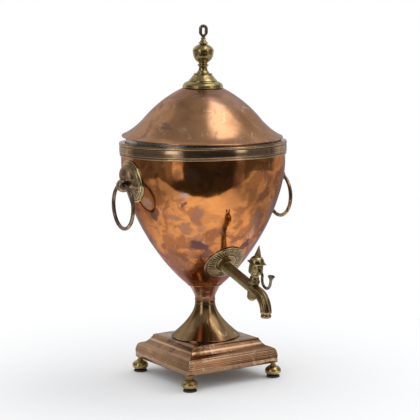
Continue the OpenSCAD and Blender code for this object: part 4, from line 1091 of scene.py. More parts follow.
lid_outline = (arc(LID_RADIUS - 1.1, 1.1, 1.1, 1.1, -90, 70, 8) + lid_line(0)
               + lid_line(1.1)[::-1] + [(LID_RADIUS - 1.1, 0)])
lid = shift(turned("lid", lid_outline, sides=192, crease=40), LID_PLACE)
dress(lid, copper_lid, "lid", "lid_copper", "lid_shell")
lid.data.materials.append(tin_lining)
lid_middle = LID_PLACE @ Vector((0, 0, DOME_MIDDLE - 60))
for face in lid.data.polygons:
    if face.normal.dot(face.center - lid_middle * MM) < 0:
        face.material_index = 1

# %% [markdown]
# ## The finial
# Cap, spindle with its ball, and a small eye on top are separate brass turnings screwed onto
# one stud. The eye is a torus whose upper half is pulled up, which makes an oval link.

# %% [markdown]
# The finial is olive brass with fine turning marks all round it, left by the lathe. The eye on
# top is darker, because fingers and dust darken what nobody polishes.

# %% Metals of the finial
brass_finial = metal("brass_finial", (0.52, 0.40, 0.17), (0.42, 0.31, 0.13),
                     (0.28, 0.20, 0.09), BARE_BRASS, uneven=0.1, sheen_and_wear=0.3, lines=0.5,
                     stain_size=0.03, stain_cover=0.35, blotch_size=0.012, blotch_cover=0.04,
                     scuff_cover=0.03, polish=0.19, dullness=0.3, seed=16.0)
bronze_eye = metal("bronze_eye", (0.44, 0.34, 0.19), (0.28, 0.20, 0.11), (0.15, 0.11, 0.07),
                   BARE_BRASS, uneven=0.1, sheen_and_wear=0.4, stain_size=0.012, stain_cover=0.5,
                   blotch_size=0.006, blotch_cover=0.3, polish=0.26, dullness=0.42, seed=28.0)
print("finish:", brass_finial.name, bronze_eye.name)

# %% Cap
CAP_FOOT = DOME_MIDDLE + math.sqrt(DOME_RADIUS ** 2 - (CAP_RADIUS + DOME_OFF) ** 2) + 0.3
CAP_HEIGHT = 20.5
SPINDLE_HEIGHT = 47.5
cap_outline = [(CAP_RADIUS - 4, 2.4), (CAP_RADIUS - 0.6, 0.1), (CAP_RADIUS - 0.2, 0.3),
               (CAP_RADIUS, 0.6), (CAP_RADIUS, 1.5), (CAP_RADIUS - 0.3, 1.9)]
cap_outline += arc(CAP_RADIUS - 9.2, 1.9, 8.8, 7.1, 4, 72, 18)
cap_outline += [(CAP_RADIUS - 6.8, 9), (CAP_RADIUS - 8.6, 9.1), (CAP_RADIUS - 8.8, 9.3),
                (CAP_RADIUS - 8.8, 10.6), (CAP_RADIUS - 9.1, 11.0), (CAP_RADIUS - 9.9, 11.6),
                (CAP_RADIUS - 11.3, 13.0), (CAP_RADIUS - 12.8, 14.8),
                (CAP_RADIUS - 14.4, 16.8), (CAP_RADIUS - 15.7, CAP_HEIGHT - 2)]
cap_outline += arc(CAP_RADIUS - 16.5, CAP_HEIGHT - 0.9, 0.8, 0.9, -70, 90, 8)
cap_outline += [(4, CAP_HEIGHT), (4, 10), (CAP_RADIUS - 4, 2.4)]
cap = turned("finial_cap_turned", cap_outline)
wear_edges(cap)
shift(cap, LID_PLACE @ raised(CAP_FOOT))
dress(cap, brass_finial, "lid", "finial_brass", "finial_cap")

# %% Spindle
BALL_UP = 30.3
BALL_HALF = 15.1
spindle_outline = [(0, 0), (8.7, 0), (8.9, 0.3), (8.9, 1.3), (8.5, 1.8), (7.5, 2.7), (6.7, 4.0),
                   (6.1, 5.6), (5.8, 7.4), (5.9, 8.8), (6.2, 9.7)]
spindle_outline += arc(6.2, 11.4, 1.8, 1.2, -75, 80, 8) + [(5.9, 13.0), (6.2, 13.9)]
spindle_outline += arc(-0.4, BALL_UP, BALL_HALF, 17.5, -63, -5, 20)
spindle_outline += [(14.3, BALL_UP - 1.1), (14.3, BALL_UP - 0.6), (14.9, BALL_UP - 0.2)]
spindle_outline += arc(0, BALL_UP, BALL_HALF, 10.6, 3, 68, 20)
spindle_outline += [(4.6, 40.4), (4.6, 40.9), (6.4, 41.3)] + arc(6.1, 42.0, 0.9, 0.8, -40, 60, 5)
spindle_outline += [(5.0, 43.5), (4.0, 45.2), (3.2, 46.8), (2.6, SPINDLE_HEIGHT),
                    (0, SPINDLE_HEIGHT)]
spindle = turned("finial_spindle_turned", spindle_outline)
wear_edges(spindle)
shift(spindle, LID_PLACE @ raised(CAP_FOOT + CAP_HEIGHT + 0.05))
dress(spindle, brass_finial, "lid", "finial_brass", "finial_spindle")

# %% Eye
EYE_FOOT = 4.7
EYE_HALF = 4.0
EYE_WIRE = 2.3
EYE_SIDE = 5.7
clear_selection()
bpy.ops.mesh.primitive_torus_add(major_radius=EYE_HALF * MM, minor_radius=EYE_WIRE * MM,
                                 major_segments=48, minor_segments=20,
                                 rotation=(math.pi / 2, 0, 0))
eye = bpy.context.object
bpy.ops.object.transform_apply(rotation=True)
mark(eye, vertex_test=lambda place: place.z > 0.0001 * MM)
bpy.ops.transform.translate(value=(0, 0, EYE_SIDE * MM))
tidy_shell(eye, 60)
for vertex in eye.data.vertices:
    vertex.co.x *= 1 + 0.25 * max(-1.0, min(0.0, vertex.co.z / (EYE_HALF * MM)))
shift(eye, raised(EYE_FOOT + EYE_HALF - 0.4))
eye_foot = turned("eye_foot", [(0, 0), (3.2, 0), (3.5, 0.4), (3.4, 0.9), (2.7, 1.7), (2.3, 2.6),
                               (2.2, 3.6), (2.4, EYE_FOOT), (0, EYE_FOOT)], sides=40)
eye = join("finial_link", eye, eye_foot)
wear_edges(eye, 0.1, 0.5)
shift(eye, LID_PLACE @ raised(CAP_FOOT + CAP_HEIGHT + SPINDLE_HEIGHT + 0.1, -30))
dress(eye, bronze_eye, "lid", "old_brass", "finial_eye")

# %% [markdown]
# ## Discs that hug the bowl
# The handle plates, the masks and the tap's back plate are cast to the bowl's curve. Each starts
# as a flat disc of rings, made from a circle by extruding its rim and scaling it up. A height is
# given to every point of the disc, and then the whole disc is wrapped onto the bowl: the point's
# own height goes outwards, and its two flat measures become a height on the bowl and a
# distance across it.

# %% Disc helpers
def ringed_disc(name, radii, sides):
    """A flat disc whose rings have the given radii in mm."""
    clear_selection()
    bpy.ops.mesh.primitive_circle_add(vertices=sides, radius=radii[0] * MM, fill_type="TRIFAN")
    disc = bpy.context.object
    disc.name = disc.data.name = name
    bpy.ops.object.mode_set(mode="EDIT")
    bpy.ops.mesh.select_mode(type="EDGE")
    bpy.ops.mesh.select_all(action="DESELECT")
    bpy.ops.mesh.select_non_manifold()
    for before, after in zip(radii, radii[1:]):
        bpy.ops.mesh.extrude_region_move(TRANSFORM_OT_translate={"value": (0, 0, 0)})
        bpy.ops.transform.resize(value=(after / before, after / before, 1),
                                 center_override=(0, 0, 0))
    bpy.ops.object.mode_set(mode="OBJECT")
    return disc


def between(points, value):
    """Reads a value off a line through (place, height) points."""
    for (x0, y0), (x1, y1) in zip(points, points[1:]):
        if value <= x1:
            return y0 + (y1 - y0) * (value - x0) / max(1e-6, x1 - x0)
    return points[-1][1]


print("disc helpers ready")


# %% Wrapping a disc on the bowl
def hug(disc, height_at, centre_up, lean, facing):
    """Wraps a disc onto the bowl. height_at(u, v) gives each point's height in mm, lean is the
    wall's slope, and facing turns the piece from +X to where it sits."""
    for vertex in disc.data.vertices:
        u, v = vertex.co.x / MM, vertex.co.y / MM
        up = centre_up + v * math.cos(lean)
        out = bowl_at(up) + height_at(u, v)
        vertex.co = Vector((math.sqrt(out * out - u * u), u, BOWL_FOOT + up)) * MM
    pick(disc)
    bpy.ops.object.mode_set(mode="EDIT")
    tidy_shell(disc, 35)
    disc.matrix_world = Matrix.Rotation(facing, 4, "Z")
    bpy.ops.object.transform_apply(rotation=True)
    return disc


def slope_at(up):
    """The wall's slope from upright at a height above the bowl's foot."""
    return math.atan(bowl_at(up + 0.5) - bowl_at(up - 0.5))


print("wall slope half way up:", round(math.degrees(slope_at(BOWL_STRAIGHT / 2)), 1), "degrees")

# %% [markdown]
# ## Handles
# A stepped brass plate carries a lion mask, cast in one with the muzzle that the ring runs
# through. The face is written as a height over the disc: a tall round swelling with brows, eye
# hollows and a nose that runs down into the muzzle, and a flatter, combed mane below. Beside
# the muzzle the face is hollowed out, so that the ring can swing.

# %% [markdown]
# The handles are cast brass. The plates are dark with bright worn steps, and the left one has a
# painted highlight, a gilt-coloured stripe on the front of its rim. The masks are matt and
# brown, as a cast surface is hard to polish, and the rings are browner still.

# %% Metals of the handles
brass_plate = metal("brass_plate", (0.30, 0.21, 0.10), (0.24, 0.16, 0.075), (0.13, 0.09, 0.045),
                    BARE_BRASS, uneven=0.06, sheen_and_wear=0.8, ragged=1,
                    # painted highlight: a gilt-coloured stripe on the front of the left plate's rim
                    spots=[(-167.5, 294, 4.5, 17, 0, "gilt_highlight", 0.8)],
                    stain_size=0.03, stain_cover=0.3,
                    blotch_size=0.015, blotch_cover=0.05, scuff_cover=0.03, polish=0.14,
                    dullness=0.28, seed=19.0)
brass_handle = metal("brass_handle", (0.43, 0.29, 0.18), (0.35, 0.23, 0.14),
                     (0.16, 0.11, 0.06), (0.75, 0.60, 0.40), uneven=0.05, sheen_and_wear=0.45,
                     rim=(0.6, 0.6, 0.6), stain_size=0.03, stain_cover=0.2, blotch_size=0.02,
                     blotch_cover=-0.4, scuff_cover=-0.2, polish=0.36, dullness=0.42, seed=18.0)
bronze_ring = metal("bronze_ring", (0.36, 0.27, 0.18), (0.26, 0.18, 0.12),
                    (0.15, 0.10, 0.07), BARE_BRASS, uneven=0.1, sheen_and_wear=0.2, stain_size=0.03,
                    stain_cover=0.5, blotch_size=0.01, blotch_cover=0.3, scuff_cover=0.08,
                    polish=0.24, dullness=0.38, seed=26.0)
print("finish:", brass_plate.name, brass_handle.name, bronze_ring.name)

# %% Handle plates
PLATE_RADIUS = 30.0
MASK_RADIUS = 23.5
HANDLE_UP = BAND_FOOT - BOWL_FOOT - PLATE_RADIUS - 1.6
HANDLE_LEAN = slope_at(HANDLE_UP)
WALL_AT_HANDLE = bowl_at(HANDLE_UP)
RING_RADIUS = 31.0
RING_WIRE = 2.7
RING_OUT = 12.8
RING_DROP = 3
MASK_BASE = 3.7
FACE_RISE = 10.6
FACE_UP = 5
FACE_HALF_WIDTH, FACE_HALF_HEIGHT = 18.5, 18
MANE_BELOW = -8.5
plate_profile = [(0, 3.7), (23.8, 3.7), (24.3, 3.4), (24.6, 2.95), (25.0, 3.05), (25.8, 3.35),
                 (26.5, 3.1), (26.8, 2.3), (27.1, 1.95), (27.5, 2.05), (28.5, 2.5), (29.4, 2.1),
                 (29.9, 1.5), (30.0, 0.3)]
plate_radii = [3, 8, 13, 18, 21] + [r for r, _ in plate_profile[1:]]
print("handle leans", round(math.degrees(HANDLE_LEAN), 1), "degrees with the wall")


# %% The lion's relief
def bump(u, v, at_u, at_v, wide, tall):
    """A soft round swelling, 1 at its middle."""
    return math.exp(-((u - at_u) / wide) ** 2 - ((v - at_v) / tall) ** 2)


def mask_height(u, v):
    """The lion's relief over the mask's disc: a tall face, and a combed mane below it."""
    r, side = math.hypot(u, v), abs(u)
    a = math.atan2(v, side)
    edge = max(0.0, 1 - (r / MASK_RADIUS) ** 2)
    rise = MASK_BASE + 5.0 * edge ** 0.9
    off = (u / FACE_HALF_WIDTH) ** 2 + ((v - FACE_UP) / FACE_HALF_HEIGHT) ** 2
    face = FACE_RISE * math.sqrt(max(0.0, 1 - off)) * min(1.0, max(0.0, (v + 10.0) / 1.6))
    locks = 0.5 + 0.5 * math.cos(21 * a + 0.8 * math.sin(r / 2.4))
    mane = min(1.0, max(0.0, (r - 10) / 3.0)) * (1.7 if v < MANE_BELOW else 0.4)
    rise -= mane * (1 - locks) * min(1.0, 4 * edge)
    rise = max(rise, MASK_BASE + face)
    rise += 0.4 * bump(side, v, 5.5, 9.5, 4.0, 1.6)
    rise -= 0.9 * bump(side, v, 6.5, 5.5, 3.0, 1.9)
    rise += 0.5 * bump(u, v, 0, 3.0, 3.0, 5.0)
    way = 3.3 + RING_RADIUS - math.sqrt(RING_RADIUS ** 2 - u * u)
    if abs(v + RING_DROP) < way and side < 18:
        clear = WALL_AT_HANDLE + RING_OUT - math.sqrt(way * way - (v + RING_DROP) ** 2)
        wall = bowl_at(HANDLE_UP + v * math.cos(HANDLE_LEAN))
        rise = min(rise, math.hypot(clear, u) - wall)
    return MASK_BASE - 0.1 if r > MASK_RADIUS - 0.01 else rise


print("face stands", round(mask_height(0, FACE_UP), 1), "mm over the bowl")


# %% [markdown]
# The muzzle is a short barrel turned across the face. The ring's way through it is drilled with
# a Boolean, and it flares towards both ends, because the ring has worn it.

# %% Muzzle
def cut_out(piece, tool, crease):
    """Takes a tool's shape out of a piece with a Boolean, and smooths the piece again."""
    pick(piece)
    cut = piece.modifiers.new("cut", "BOOLEAN")
    cut.operation, cut.object = "DIFFERENCE", tool
    bpy.ops.object.modifier_apply(modifier=cut.name)
    bpy.ops.object.shade_smooth_by_angle(angle=math.radians(crease))


def mask_muzzle(name):
    """The muzzle: a barrel across the face, swollen lips at its ends, drilled for the ring."""
    half = 6.5
    lip = [(0, half), (5.6, half), (6.6, half - 0.3), (7.9, half - 1.1), (8.7, half - 2.4),
           (9.1, half - 4.2), (9.2, 0.8)]
    barrel = turned(name, [(r, -z) for r, z in lip] + lip[::-1], sides=64)
    shift(barrel, Matrix.Translation((WALL_AT_HANDLE + RING_OUT - 0.5, 0, -RING_DROP - 2.3))
          @ Matrix.Rotation(math.pi / 2, 4, "X"))
    drill = turned("ring_way", [(0, -9), (5.4, -9), (4.1, -6.5), (3.3, -3), (3.0, -1), (3.0, 1),
                                (3.3, 3), (4.1, 6.5), (5.4, 9), (0, 9)], sides=48)
    shift(drill, Matrix.Translation((WALL_AT_HANDLE + RING_OUT, 0, -RING_DROP))
          @ Matrix.Rotation(math.pi / 2, 4, "X"))
    cut_out(barrel, drill, 35)
    bpy.data.objects.remove(drill)
    return shift(barrel, raised(BOWL_FOOT + HANDLE_UP))


print("muzzle stands", round(RING_OUT + 8.7, 1), "mm over the bowl")

# %% [markdown]
# The ring is a torus on edge. It is a little thinner at the top, where it wears in the muzzle,
# and its thickness wavers slightly all round, as hand-drawn wire does.

# %% Ring
def mask_ring(name):
    """The hanging ring: a torus, thinned a little at the top where it wears in the muzzle."""
    clear_selection()
    bpy.ops.mesh.primitive_torus_add(major_radius=RING_RADIUS * MM, minor_radius=RING_WIRE * MM,
                                     major_segments=128, minor_segments=24,
                                     rotation=(0, math.pi / 2, 0))
    ring = bpy.context.object
    ring.name = ring.data.name = name
    bpy.ops.object.transform_apply(rotation=True)
    for vertex in ring.data.vertices:
        flat = Vector((0, vertex.co.y, vertex.co.z))
        wire = flat.normalized() * RING_RADIUS * MM
        thin = 1 - 0.10 * max(0.0, vertex.co.z / (RING_RADIUS * MM)) ** 4
        thin -= 0.02 * math.sin(5 * math.atan2(vertex.co.y, vertex.co.z))
        vertex.co = wire + (vertex.co - wire) * min(1.0, thin)
    bpy.ops.object.mode_set(mode="EDIT")
    tidy_shell(ring, 60)
    return shift(ring, Matrix.Translation(
        (WALL_AT_HANDLE + RING_OUT, 0, BOWL_FOOT + HANDLE_UP - RING_DROP - RING_RADIUS)))


print("ring is", 2 * (RING_RADIUS + RING_WIRE), "mm across")

# %% [markdown]
# Plate, mask and ring are made on the +X side, and the left ones are turned half way round the
# axis. Each ring rides on a body of its own, so it can swing.

# %% Both handles
for word, facing in [("right", 0.0), ("left", math.pi)]:
    plate = hug(ringed_disc("plate_" + word, plate_radii, 96),
                lambda u, v: between(plate_profile, math.hypot(u, v)),
                HANDLE_UP, HANDLE_LEAN, facing)
    wear_edges(plate, 0.03, 0.25)
    dress(plate, brass_plate, "urn", "handle_brass", "handle_plate_" + word)
    mask = hug(ringed_disc("mask_" + word, spread(0.5, MASK_RADIUS - 0.05, 60) + [MASK_RADIUS],
                           216),
               mask_height, HANDLE_UP, HANDLE_LEAN, facing)
    muzzle = mask_muzzle("muzzle_" + word)
    ring = mask_ring("ring_" + word)
    for piece in [muzzle, ring]:
        shift(piece, Matrix.Rotation(facing, 4, "Z"))
    mask = join("lion_mask_" + word, mask, muzzle)
    wear_edges(mask, 0.03, 0.3)
    dress(mask, brass_handle, "urn", "handle_brass", "handle_mask_" + word)
    dress(ring, bronze_ring, word + "_ring", "ring_metal", "handle_ring_" + word)

# %% [markdown]
# ## The tap's back plate
# The tap stands on a round brass plate with a plain rim, a border of fine flutes and a smooth
# middle. It is another disc that hugs the bowl, here on the front and on a steeper slope.

# %% [markdown]
# The plate's flutes hold old polish and grime in their hollows and shine on their ridges. The
# wear attribute paints both, so the ground itself can be plain.

# %% Brass of the tap plate
brass_rosette = metal("brass_rosette", (0.30, 0.20, 0.10), (0.22, 0.14, 0.07),
                      (0.09, 0.055, 0.03), BARE_BRASS, uneven=0.1, sheen_and_wear=0.75, stain_size=0.03,
                      stain_cover=0.4, blotch_size=0.02, blotch_cover=0.04, scuff_cover=-0.1,
                      polish=0.2, dullness=0.34, seed=21.0)
print("finish:", brass_rosette.name)

# %% Tap plate
TAP_UP = 33.4
PLATE_UP = TAP_UP + 4
TAP_PLATE_RADIUS = 29.0
FLUTES = 40


def tap_plate_height(u, v):
    """Rim, fluted border and smooth middle of the tap's plate."""
    r, a = math.hypot(u, v), math.atan2(v, u)
    base = between([(0, 3.6), (13.6, 3.6), (14.2, 3.2), (15.0, 2.5), (26.0, 2.1), (26.6, 2.5),
                    (27.4, 2.75), (28.3, 2.5), (TAP_PLATE_RADIUS - 0.02, 1.8),
                    (TAP_PLATE_RADIUS, 0.3)], r)
    inside_border = min(1.0, max(0.0, (r - 14.8) / 1.2)) * min(1.0, max(0.0, (26.2 - r) / 1.0))
    return base + 1.2 * inside_border * abs(math.cos(FLUTES / 2 * a)) ** 0.7


tap_plate_radii = [3, 8, 12, 13.6, 14.2, 14.8, 15.4, 16, 18, 20, 22, 24, 25.2, 25.8, 26.2, 26.6,
                   27.0, 27.4, 27.9, 28.3, 28.7, TAP_PLATE_RADIUS - 0.02, TAP_PLATE_RADIUS]
tap_plate = hug(ringed_disc("tap_plate", tap_plate_radii, FLUTES * 8), tap_plate_height,
                PLATE_UP, slope_at(PLATE_UP), -math.pi / 2)
wear_edges(tap_plate, 0.03, 0.25)
dress(tap_plate, brass_rosette, "urn", "tap_brass", "tap_rosette")

# %% [markdown]
# ## The tap
# The arm is an eight-sided prism with narrow bevelled borders along its edges, the spout is a
# ridged circle spun a good quarter turn about its bend, and the barrel between them is turned.
# Everything is made along the tap's own axes and then tilted to the arm's slope.

# %% Tap frame
TAP_TILT = math.radians(15.5)
ARM_LENGTH = 78.7
TAP_FRAME = (Matrix.Translation((0, -bowl_at(TAP_UP), BOWL_FOOT + TAP_UP))
             @ Matrix.Rotation(TAP_TILT, 4, "X"))
BARREL_FRAME = TAP_FRAME @ Matrix.Translation((0, -ARM_LENGTH, 0))
print("barrel stands at", [round(c, 1) for c in BARREL_FRAME.translation])

# %% Arm
def octagon_bar(name, radius, start, end, border):
    """An eight-sided bar along Y with narrow chamfers on its long edges."""
    clear_selection()
    bpy.ops.mesh.primitive_cylinder_add(vertices=8, radius=radius * MM, depth=(end - start) * MM)
    bar = bpy.context.object
    bar.name = bar.data.name = name
    shift(bar, Matrix.Translation((0, (start + end) / 2, 0))
          @ Matrix.Rotation(-math.pi / 2, 4, "X") @ Matrix.Rotation(math.pi / 8, 4, "Z"))
    mark(bar, edge_test=lambda a, b: abs(a.y - b.y) > 1 * MM)
    bpy.ops.mesh.bevel(offset=border * MM, segments=2, profile=0.55, affect="EDGES")
    return tidy_shell(bar, 18)


arm = octagon_bar("arm", 8.0, -1.0, ARM_LENGTH + 14, 1.2)
arm_foot = octagon_bar("arm_foot", 10.4, ARM_LENGTH - 9, ARM_LENGTH + 20, 1.0)
for piece in [arm, arm_foot]:
    shift(piece, BARREL_FRAME)
print("arm is", ARM_LENGTH, "mm from the bowl's wall to the barrel's axis")

# %% [markdown]
# The arm runs right through the wall at first. A solid core with the bowl's outline and the
# plate's thickness is turned, and a Boolean takes it away, so the arm ends neatly on the plate.

# %% Trim the arm on the plate
core_outline = [(0, -4)] + [(bowl_at(max(0, up)) + 3.4, up) for up in spread(-4, 72, 40)] \
    + [(0, 72)]
core = shift(turned("core", core_outline, sides=128), raised(BOWL_FOOT))
for piece in [arm, arm_foot]:
    cut_out(piece, core, 18)
    print(piece.name, len(piece.data.polygons), "faces after the cut")
bpy.data.objects.remove(core)

# %% A ridged spout
SPOUT_BEND = 24.0
SPOUT_RADIUS = 7.9
SPOUT_RIDGES = 8
SPOUT_FLUTE = 0.9
SPOUT_START = 15.6
SPOUT_TURN = math.pi / 2 - TAP_TILT


def ridged_spout(name):
    """A ridged circle pushed out of the barrel, spun round the bend and drawn to the mouth."""
    clear_selection()
    bpy.ops.mesh.primitive_circle_add(vertices=SPOUT_RIDGES * 8, radius=SPOUT_RADIUS * MM,
                                      rotation=(math.pi / 2, 0, 0))
    spout = bpy.context.object
    spout.name = spout.data.name = name
    bpy.ops.object.transform_apply(rotation=True)
    for vertex in spout.data.vertices:
        turn = SPOUT_RIDGES / 2 * math.atan2(vertex.co.z, vertex.co.x)
        vertex.co *= 1 - SPOUT_FLUTE / SPOUT_RADIUS * (1 - abs(math.cos(turn)) ** 1.6)
    bpy.ops.object.mode_set(mode="EDIT")
    bpy.ops.mesh.select_mode(type="EDGE")
    bpy.ops.mesh.select_all(action="SELECT")
    bpy.ops.mesh.extrude_region_move(
        TRANSFORM_OT_translate={"value": (0, -SPOUT_START * MM, 0)})
    bpy.ops.mesh.spin(steps=18, angle=-SPOUT_TURN, axis=(1, 0, 0),
                      center=(0, -SPOUT_START * MM, -SPOUT_BEND * MM))
    down = Matrix.Rotation(SPOUT_TURN, 3, "X") @ Vector((0, -1, 0))
    middle = (Vector((0, -SPOUT_START, -SPOUT_BEND))
              + Matrix.Rotation(SPOUT_TURN, 3, "X") @ Vector((0, 0, SPOUT_BEND)))
    for length, factor in [(0.6, 0.97), (1.2, 0.86), (0.8, 0.95)]:
        bpy.ops.mesh.extrude_region_move(
            TRANSFORM_OT_translate={"value": down * length * MM})
        middle += down * length
        bpy.ops.transform.resize(value=(factor,) * 3, center_override=middle * MM)
    bpy.ops.mesh.select_all(action="SELECT")
    bpy.ops.mesh.fill_holes(sides=0)
    return tidy_shell(spout, 30)


print("spout turns down by", round(math.degrees(SPOUT_TURN), 1), "degrees")

# %% [markdown]
# The mouth is a turned ring with a swollen lip. It sits in the spout's end, so its frame is the
# barrel's frame carried round the same bend.

# %% Spout and its mouth
spout = ridged_spout("spout")
mouth_low = min(v.co.z for v in spout.data.vertices) / MM
print("spout reaches down to", round(mouth_low, 1), "mm below the arm")
shift(spout, BARREL_FRAME)
MOUTH_FRAME = (BARREL_FRAME @ Matrix.Translation((0, -SPOUT_START, -SPOUT_BEND))
               @ Matrix.Rotation(SPOUT_TURN, 4, "X") @ Matrix.Translation((0, -2.0, SPOUT_BEND))
               @ Matrix.Rotation(math.pi / 2, 4, "X"))
mouth_outline = [(2.8, -9), (6.2, -1.6), (6.4, -1.2), (6.0, -0.5), (5.8, 0.1)]
mouth_outline += arc(5.6, 2.7, 1.6, 2.5, -75, 75, 12)
mouth_outline += [(5.6, 5.3), (3.2, 5.4), (2.8, 4.9), (2.8, -9)]
spout_mouth = shift(turned("spout_mouth", mouth_outline, sides=64), MOUTH_FRAME)

# %% [markdown]
# The plug turns in a barrel across the arm: a collar at the bottom, a slight taper, and a round
# polished swelling above the arm, which is worn bright because fingers rub it.

# %% [markdown]
# Arm and barrel are dull olive brass. The spout and the front of the barrel are brighter and
# smoother, because cups and fingers touch them. It is one joined mesh, so the spout's faces get
# a second material.

# %% Brasses of the tap
brass_tap = metal("brass_tap", (0.30, 0.225, 0.105), (0.22, 0.155, 0.07), (0.12, 0.085, 0.04),
                  (0.75, 0.60, 0.34), uneven=0.1, sheen_and_wear=0.45, rim=(0.6, 0.6, 0.6),
                  stain_size=0.02, stain_cover=0.4, blotch_size=0.012, blotch_cover=0.1,
                  blotch_edge=0.05, scuff_cover=0.0, polish=0.36, dullness=0.46, seed=20.0)
brass_spout = metal("brass_spout", (0.42, 0.29, 0.14), (0.30, 0.20, 0.09), (0.13, 0.085, 0.04),
                    BARE_BRASS, uneven=0.1, sheen_and_wear=0.6, rim=(0.6, 0.6, 0.6), stain_size=0.02,
                    stain_cover=0.35, blotch_size=0.012, blotch_cover=0.0, blotch_edge=0.05,
                    scuff_cover=0.0, polish=0.2, dullness=0.34, seed=23.0)
print("finish:", brass_tap.name, brass_spout.name)

# %% Barrel
barrel_outline = [(0, -14), (5.8, -14), (6.3, -13.7), (6.5, -13.2), (6.4, -12.4), (6.7, -12.1),
                  (6.8, -11.2), (6.6, -10.6), (6.8, -9), (7.3, -2), (7.4, 5.2), (7.2, 5.9),
                  (6.6, 6.4)]
barrel_outline += arc(5.6, 10.2, 2.3, 3.6, -68, 76, 18)
barrel_outline += [(6.2, 14.1), (6.5, 14.4), (6.5, 14.8), (6.2, 15), (0, 15)]
barrel = shift(turned("barrel", barrel_outline, sides=80), BARREL_FRAME)
tap_shown = join("tap_arm_and_spout", arm, arm_foot, spout, spout_mouth, barrel)
wear_edges(tap_shown, 0.06, 0.4)
dress(tap_shown, brass_tap, "urn", "tap_brass", "tap_body")
tap_shown.data.materials.append(brass_spout)
into_barrel = BARREL_FRAME.inverted()
for face in tap_shown.data.polygons:
    place = into_barrel @ (face.center / MM)
    if place.y < -7.5 and place.z < 8:
        face.material_index = 1

# %% [markdown]
# ## The key
# The key is a small lantern: a bell-shaped body with a window on its outer side, a hood with
# four pointed eaves, and a beaded spire. The body is turned, the window is cut by a Boolean
# with a round-topped block, and the eaves are pulled out at the four corners.

# %% [markdown]
# The key is turned by hand at every cup, so its brass is smooth and its edges are bright.

# %% Brass of the key
brass_key = metal("brass_key", (0.38, 0.29, 0.13), (0.29, 0.21, 0.09), (0.15, 0.105, 0.05),
                  BARE_BRASS, uneven=0.08, sheen_and_wear=0.4, stain_size=0.02, stain_cover=0.35,
                  blotch_size=0.012, blotch_cover=0.1, scuff_cover=0.02, polish=0.18,
                  dullness=0.34, seed=22.0)
print("finish:", brass_key.name)

# %% Key
KEY_FRAME = BARREL_FRAME @ Matrix.Translation((0, 0, 15.4))
KEY_DRUM = 22.0
HOOD = 10.0
key_outline = [(0, 0), (6.2, 0), (6.5, 0.3), (6.4, 0.9), (6.0, 1.5), (5.6, 2.6), (5.4, 3.7),
               (5.5, 4.6), (6.1, 5.2), (6.3, 5.7)]
key_outline += arc(5.1, 10.4, 4.6, 4.6, -66, 0, 14)
key_outline += [(9.8, 12.5), (9.7, 15), (9.5, 18), (9.2, 20.6), (9.0, KEY_DRUM - 0.4),
                (9.6, KEY_DRUM), (10.4, KEY_DRUM + 0.2), (10.9, KEY_DRUM + 0.7),
                (10.8, KEY_DRUM + 1.3), (10.2, KEY_DRUM + 1.7)]
key_outline += arc(1.7, KEY_DRUM + 1.6, 8.3, HOOD - 1.6, 8, 66, 14)
key_outline += [(4.7, KEY_DRUM + HOOD - 0.4), (4.6, KEY_DRUM + HOOD), (0, KEY_DRUM + HOOD)]
key = turned("key_body", key_outline, sides=112)
for vertex in key.data.vertices:
    up = vertex.co.z / MM - KEY_DRUM
    if -0.6 < up < 3.2:
        corner = abs(math.cos(2 * (math.atan2(vertex.co.y, vertex.co.x) - math.pi / 4))) ** 7
        pull = corner * max(0.0, 1 - abs(up - 0.9) / 2.3)
        vertex.co.x *= 1 + 0.24 * pull
        vertex.co.y *= 1 + 0.24 * pull
        vertex.co.z -= 0.5 * pull * MM
print("key is", KEY_DRUM + HOOD, "mm high without its spire")

# %% [markdown]
# The window's block is a cube whose two upper edges are bevelled until they nearly meet in a
# round arch. It reaches four millimetres into the body, so the window is a niche.

# %% Window of the key
clear_selection()
bpy.ops.mesh.primitive_cube_add(size=MM, location=(0, -8.7 * MM, 14.6 * MM),
                                scale=(8.8, 6, 13))
window = bpy.context.object
bpy.ops.object.transform_apply(location=True, scale=True)
mark(window, edge_test=lambda a, b: abs(a.x - b.x) < 1e-6 and a.z > 15 * MM and b.z > 15 * MM)
bpy.ops.mesh.bevel(offset=4.0 * MM, segments=8, affect="EDGES")
bpy.ops.object.mode_set(mode="OBJECT")
cut_out(key, window, 32)
bpy.data.objects.remove(window)
wear_edges(key, 0.06, 0.4)
shift(key, KEY_FRAME)
dress(key, brass_key, "key", "tap_brass", "tap_key")

# %% [markdown]
# The spire is a stack of six beads, each a little smaller than the one below.

# %% Spire
spire_outline = [(0, -0.2), (4.2, -0.2), (4.4, 0.2)]
for tier in range(6):
    spire_outline += arc(4.4 - 0.68 * (tier + 1), (tier + 0.5) * 2.45, 0.8, 1.15, -68, 68, 6)
spire_outline += [(0.35, 15.3), (0, 15.6)]
spire = turned("key_spire_turned", spire_outline, sides=40)
wear_edges(spire, 0.06, 0.4)
shift(spire, KEY_FRAME @ raised(KEY_DRUM + HOOD + 0.05))
dress(spire, brass_tap, "key", "tap_brass", "key_spire")

# %% [markdown]
# ## The lever
# A bent wire works the key: straight out, down, round in a wide bend and up to a flared button.
# A bend of wire is quickest as a curve with a round bevel, which is then converted to a mesh.

# %% [markdown]
# Lever and button are a greyer bronze than the rest of the tap, with fine blotches.

# %% Bronze of the lever
bronze_lever = metal("bronze_lever", (0.22, 0.19, 0.12), (0.17, 0.14, 0.09),
                     (0.11, 0.09, 0.06), BARE_BRASS, uneven=0.08, sheen_and_wear=0.1, rim=(0.5, 0.5, 0.5),
                     stain_size=0.02, stain_cover=0.4, blotch_size=0.008, blotch_cover=0.2,
                     scuff_cover=0.06, polish=0.26, dullness=0.4, seed=24.0)
print("finish:", bronze_lever.name)

